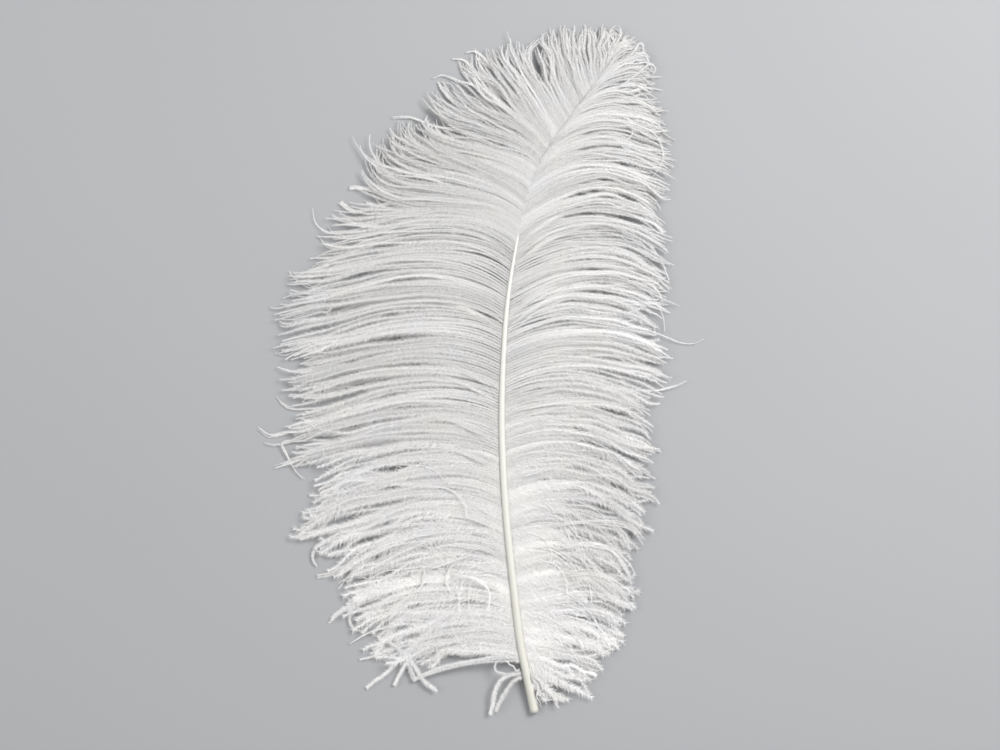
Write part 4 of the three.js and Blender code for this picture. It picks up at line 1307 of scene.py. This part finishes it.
class PlumeVaneSettings(bpy.types.PropertyGroup):
    barb_spacing: bpy.props.FloatProperty(
        name="Barb Spacing", description="Distance between the roots of two barbs",
        default=1.0 * MM, unit="LENGTH")
    ramus_diameter: bpy.props.FloatProperty(
        name="Ramus Diameter", description="Diameter of a barb's stem at its root",
        default=0.46 * MM, unit="LENGTH")
    tip_scatter: bpy.props.FloatProperty(
        name="Tip Scatter", description="How far the tips of one lock lie from each other",
        default=2.2 * MM, unit="LENGTH")
    length_play: bpy.props.FloatProperty(
        name="Length Play", description="Largest share by which a barb ends before its lock",
        default=0.2, subtype="FACTOR")
    tuft_tightness: bpy.props.FloatProperty(
        name="Tuft Tightness", description="How closely neighbouring barbs gather",
        default=0.42, subtype="FACTOR")
    sway: bpy.props.FloatProperty(
        name="Sway", description="How far barbs wave from their paths",
        default=1.1 * MM, unit="LENGTH")
    barbule_spacing: bpy.props.FloatProperty(
        name="Barbule Spacing", description="Distance between barbules in one row",
        default=0.5 * MM, unit="LENGTH")
    barbule_breadth: bpy.props.FloatProperty(
        name="Barbule Breadth", description="Breadth of a barbule at its base",
        default=0.33 * MM, unit="LENGTH")
    down_reach: bpy.props.FloatProperty(
        name="Down Reach", description="Length of the barbules of the down by the shaft",
        default=3.0 * MM, unit="LENGTH")
    sweep: bpy.props.FloatProperty(
        name="Sweep", description="Angle between a barbule and its barb",
        default=math.radians(48), subtype="ANGLE")
    wisp_sweep: bpy.props.FloatProperty(
        name="Wisp Sweep", description="That angle on the loose wisps, whose barbules stand out more",
        default=math.radians(62), subtype="ANGLE")
    sweep_play: bpy.props.FloatProperty(
        name="Sweep Play", description="Largest difference from that angle",
        default=math.radians(20), subtype="ANGLE")
    lift_play: bpy.props.FloatProperty(
        name="Lift Play", description="How far barbules stand above or hang below the vane",
        default=math.radians(38), subtype="ANGLE")
    seed: bpy.props.IntProperty(
        name="Seed", description="Start of everything random in the vanes", default=7)
    cool_white: bpy.props.FloatVectorProperty(
        name="Cool White", description="Whitest, slightly bluish colour of the down",
        default=(0.92, 0.912, 0.915), subtype="COLOR")
    warm_white: bpy.props.FloatVectorProperty(
        name="Warm White", description="Slightly creamy colour of the down",
        default=(0.945, 0.93, 0.90), subtype="COLOR")


class PlumeStageSettings(bpy.types.PropertyGroup):
    floor_size: bpy.props.FloatProperty(
        name="Floor Size", description="Length of the floor's side", default=8.0, unit="LENGTH")
    floor_colour: bpy.props.FloatVectorProperty(
        name="Floor Colour", description="Colour of the plain floor",
        default=(0.288, 0.291, 0.298), subtype="COLOR")
    picture_breadth: bpy.props.FloatProperty(
        name="Picture Breadth", description="Breadth of floor that the camera sees",
        default=666.7 * MM, unit="LENGTH")
    lens: bpy.props.FloatProperty(
        name="Lens", description="Focal length of the camera", default=85.0, unit="CAMERA")
    key_power: bpy.props.FloatProperty(
        name="Key Light", description="Power of the main soft light", default=25.0, unit="POWER")
    fill_power: bpy.props.FloatProperty(
        name="Fill Light", description="Power of the light from the other side",
        default=11.0, unit="POWER")
    surround: bpy.props.FloatProperty(
        name="Surround", description="Brightness of the studio round the plume", default=0.6)


# ---------------------------------------------------------------- operators


class PLUME_OT_build_shaft(bpy.types.Operator):
    """Builds the ivory shaft with its cut and hollow quill"""

    bl_idname = "plume.build_shaft"
    bl_label = "Build Shaft"

    def execute(self, context):
        settings = context.scene.plume_shaft
        mesh = make_shaft_mesh(settings)
        mesh.materials.append(shaft_material(settings))
        piece = bpy.data.objects.new("shaft", mesh)
        context.scene.collection.objects.link(piece)
        finish_piece(piece)
        return {"FINISHED"}


# What is added to the seed for the paths of the wisps and of the down, and for their barbules.
WISP_SEEDS = (50, 500)
DOWN_SEEDS = (70, 700)

# The bands that each vane is built in: name, side, lowest and highest root.
VANE_BANDS = [
    ("barbs_left_low", -1, -196, -62),
    ("barbs_left_middle", -1, -62, 72),
    ("barbs_left_upper", -1, 72, 118),
    ("barbs_left_tip", -1, 118, 203),
    ("barbs_right_low", 1, -207, -62),
    ("barbs_right_middle", 1, -62, 72),
    ("barbs_right_upper", 1, 72, 203),
]


class PLUME_OT_build_vanes(bpy.types.Operator):
    """Builds the barbs of both vanes, in bands from the quill to the tip"""

    bl_idname = "plume.build_vanes"
    bl_label = "Build Vanes"

    def execute(self, context):
        settings = context.scene.plume_vane
        for order, (name, side, low, high) in enumerate(VANE_BANDS):
            rng = np.random.default_rng(settings.seed + order)
            barbs = comb_vane(side, low, high, settings, rng)
            clothe(name, barbs, settings, settings.seed + 10 * order)
        return {"FINISHED"}


class PLUME_OT_build_wisps(bpy.types.Operator):
    """Builds the single barbs and wisps that leave the locks"""

    bl_idname = "plume.build_wisps"
    bl_label = "Build Wisps"

    def execute(self, context):
        settings = context.scene.plume_vane
        rng = np.random.default_rng(settings.seed + WISP_SEEDS[0])
        barbs = comb_wisps(settings, rng)
        clothe("wisps", barbs, settings, settings.seed + WISP_SEEDS[1], settings.wisp_sweep)
        return {"FINISHED"}


# The down: name, side, lowest and highest root, number of barbs, lengths as shares of the vane's
# breadth, heights over the vane, how far the tips droop, how freely they turn, their tones and
# how fluffy they are.
DOWN_LAYERS = [
    ("down_left", -1, -172, 30, 78, (0.4, 0.92), (-5, -1.2), 10, 14, (0.5, 0.9), 1.7),
    ("down_right", 1, -186, 30, 84, (0.4, 0.92), (-5, -1.2), 10, 14, (0.5, 0.9), 1.7),
    ("down_left_upper", -1, 30, 164, 70, (0.4, 0.84), (-4, -1.2), 0, 9, (0.5, 0.9), 1.6),
    ("down_right_upper", 1, 30, 170, 64, (0.4, 0.84), (-4, -1.2), 0, 9, (0.5, 0.9), 1.6),
    # Its tones above 1 are painted light by the quill, on down that is also denser there.
    ("down_quill_right", 1, -200, -20, 192, (0.18, 0.66), (-0.8, 1.4), 5, 8, (1.1, 1.45), 1.0),
    ("down_over_left", -1, -160, -30, 58, (0.6, 0.97), (2.0, 5.0), 36, 26, (0.8, 1.2), 0.34),
    ("down_over_right", 1, -165, -30, 40, (0.6, 0.97), (1.5, 4.5), 40, 18, (0.8, 1.2), 0.34),
]


class PLUME_OT_build_down(bpy.types.Operator):
    """Builds the soft down under and over the vanes and beside the quill"""

    bl_idname = "plume.build_down"
    bl_label = "Build Down"

    def execute(self, context):
        settings = context.scene.plume_vane
        for order, (name, side, *layer) in enumerate(DOWN_LAYERS):
            rng = np.random.default_rng(settings.seed + DOWN_SEEDS[0] + order)
            barbs = comb_down(side, layer, settings, rng)
            clothe(name, barbs, settings, settings.seed + DOWN_SEEDS[1] + 10 * order)
        return {"FINISHED"}


# The studio, in metres: place and breadth of each soft light, and the colour of its surroundings.
KEY_LIGHT = ((0.75, 0.5, 1.15), 0.7)
FILL_LIGHT = ((-1.1, 0.1, 1.2), 1.2)
STUDIO_WHITE = (0.97, 0.98, 1.0)

# Over which point the camera stands, and at which height the picture has its breadth.
PICTURE_CENTRE = (13.0, -3.7, 10.0)


def add_area_light(name, place, size, power):
    """A round soft light that shines on the middle of the floor."""
    data = bpy.data.lights.new(name, "AREA")
    data.shape = "DISK"
    data.size = size
    data.energy = power
    light = bpy.data.objects.new(name, data)
    light.location = place
    tilt = math.acos(place[2] / math.hypot(*place))
    light.rotation_euler = (tilt, 0, math.atan2(-place[1], -place[0]) - math.pi / 2)
    bpy.context.scene.collection.objects.link(light)


class PLUME_OT_build_stage(bpy.types.Operator):
    """Lays the floor, sets soft studio lights and the camera that looks straight down"""

    bl_idname = "plume.build_stage"
    bl_label = "Build Stage"

    def execute(self, context):
        settings = context.scene.plume_stage
        half = settings.floor_size / 2
        mesh = bpy.data.meshes.new("floor")
        corners = [(-half, -half, 0), (half, -half, 0), (half, half, 0), (-half, half, 0)]
        mesh.from_pydata(corners, [], [(0, 1, 2, 3)])
        mesh.materials.append(floor_material(settings))
        floor = bpy.data.objects.new("floor", mesh)
        context.scene.collection.objects.link(floor)

        world = bpy.data.worlds.new("studio")
        world.use_nodes = True
        background = world.node_tree.nodes["Background"]
        background.inputs["Color"].default_value = colour(STUDIO_WHITE)
        background.inputs["Strength"].default_value = settings.surround
        context.scene.world = world
        add_area_light("key", *KEY_LIGHT, settings.key_power)
        add_area_light("fill", *FILL_LIGHT, settings.fill_power)

        data = bpy.data.cameras.new("camera")
        data.lens = settings.lens
        data.clip_start = 0.05
        camera = bpy.data.objects.new("camera", data)
        distance = settings.picture_breadth * settings.lens / data.sensor_width
        x, y, z = PICTURE_CENTRE
        camera.location = (x * MM, y * MM, z * MM + distance)
        context.scene.collection.objects.link(camera)
        context.scene.camera = camera
        context.scene.view_settings.view_transform = "Standard"
        return {"FINISHED"}


class VIEW3D_PT_plume(bpy.types.Panel):
    """Lists the pieces of the plume and their sizes"""

    bl_label = "Ostrich Plume"
    bl_space_type = "VIEW_3D"
    bl_region_type = "UI"
    bl_category = "Plume"

    def draw(self, context):
        parts = (
            (context.scene.plume_shaft, ("plume.build_shaft",)),
            (context.scene.plume_vane, ("plume.build_vanes", "plume.build_wisps", "plume.build_down")),
            (context.scene.plume_stage, ("plume.build_stage",)),
        )
        for settings, operators in parts:
            box = self.layout.box()
            for name in settings.__annotations__:
                box.prop(settings, name)
            for operator in operators:
                box.operator(operator)


CLASSES = (
    PlumeShaftSettings, PlumeVaneSettings, PlumeStageSettings,
    PLUME_OT_build_shaft, PLUME_OT_build_vanes, PLUME_OT_build_wisps, PLUME_OT_build_down,
    PLUME_OT_build_stage, VIEW3D_PT_plume,
)


def register():
    for cls in CLASSES:
        bpy.utils.register_class(cls)
    bpy.types.Scene.plume_shaft = bpy.props.PointerProperty(type=PlumeShaftSettings)
    bpy.types.Scene.plume_vane = bpy.props.PointerProperty(type=PlumeVaneSettings)
    bpy.types.Scene.plume_stage = bpy.props.PointerProperty(type=PlumeStageSettings)


def unregister():
    del bpy.types.Scene.plume_stage
    del bpy.types.Scene.plume_vane
    del bpy.types.Scene.plume_shaft
    for cls in reversed(CLASSES):
        bpy.utils.unregister_class(cls)


def main():
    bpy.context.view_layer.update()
    register()
    bpy.ops.plume.build_shaft()
    bpy.ops.plume.build_vanes()
    bpy.ops.plume.build_wisps()
    bpy.ops.plume.build_down()
    bpy.ops.plume.build_stage()


if __name__ == "__main__":
    main()
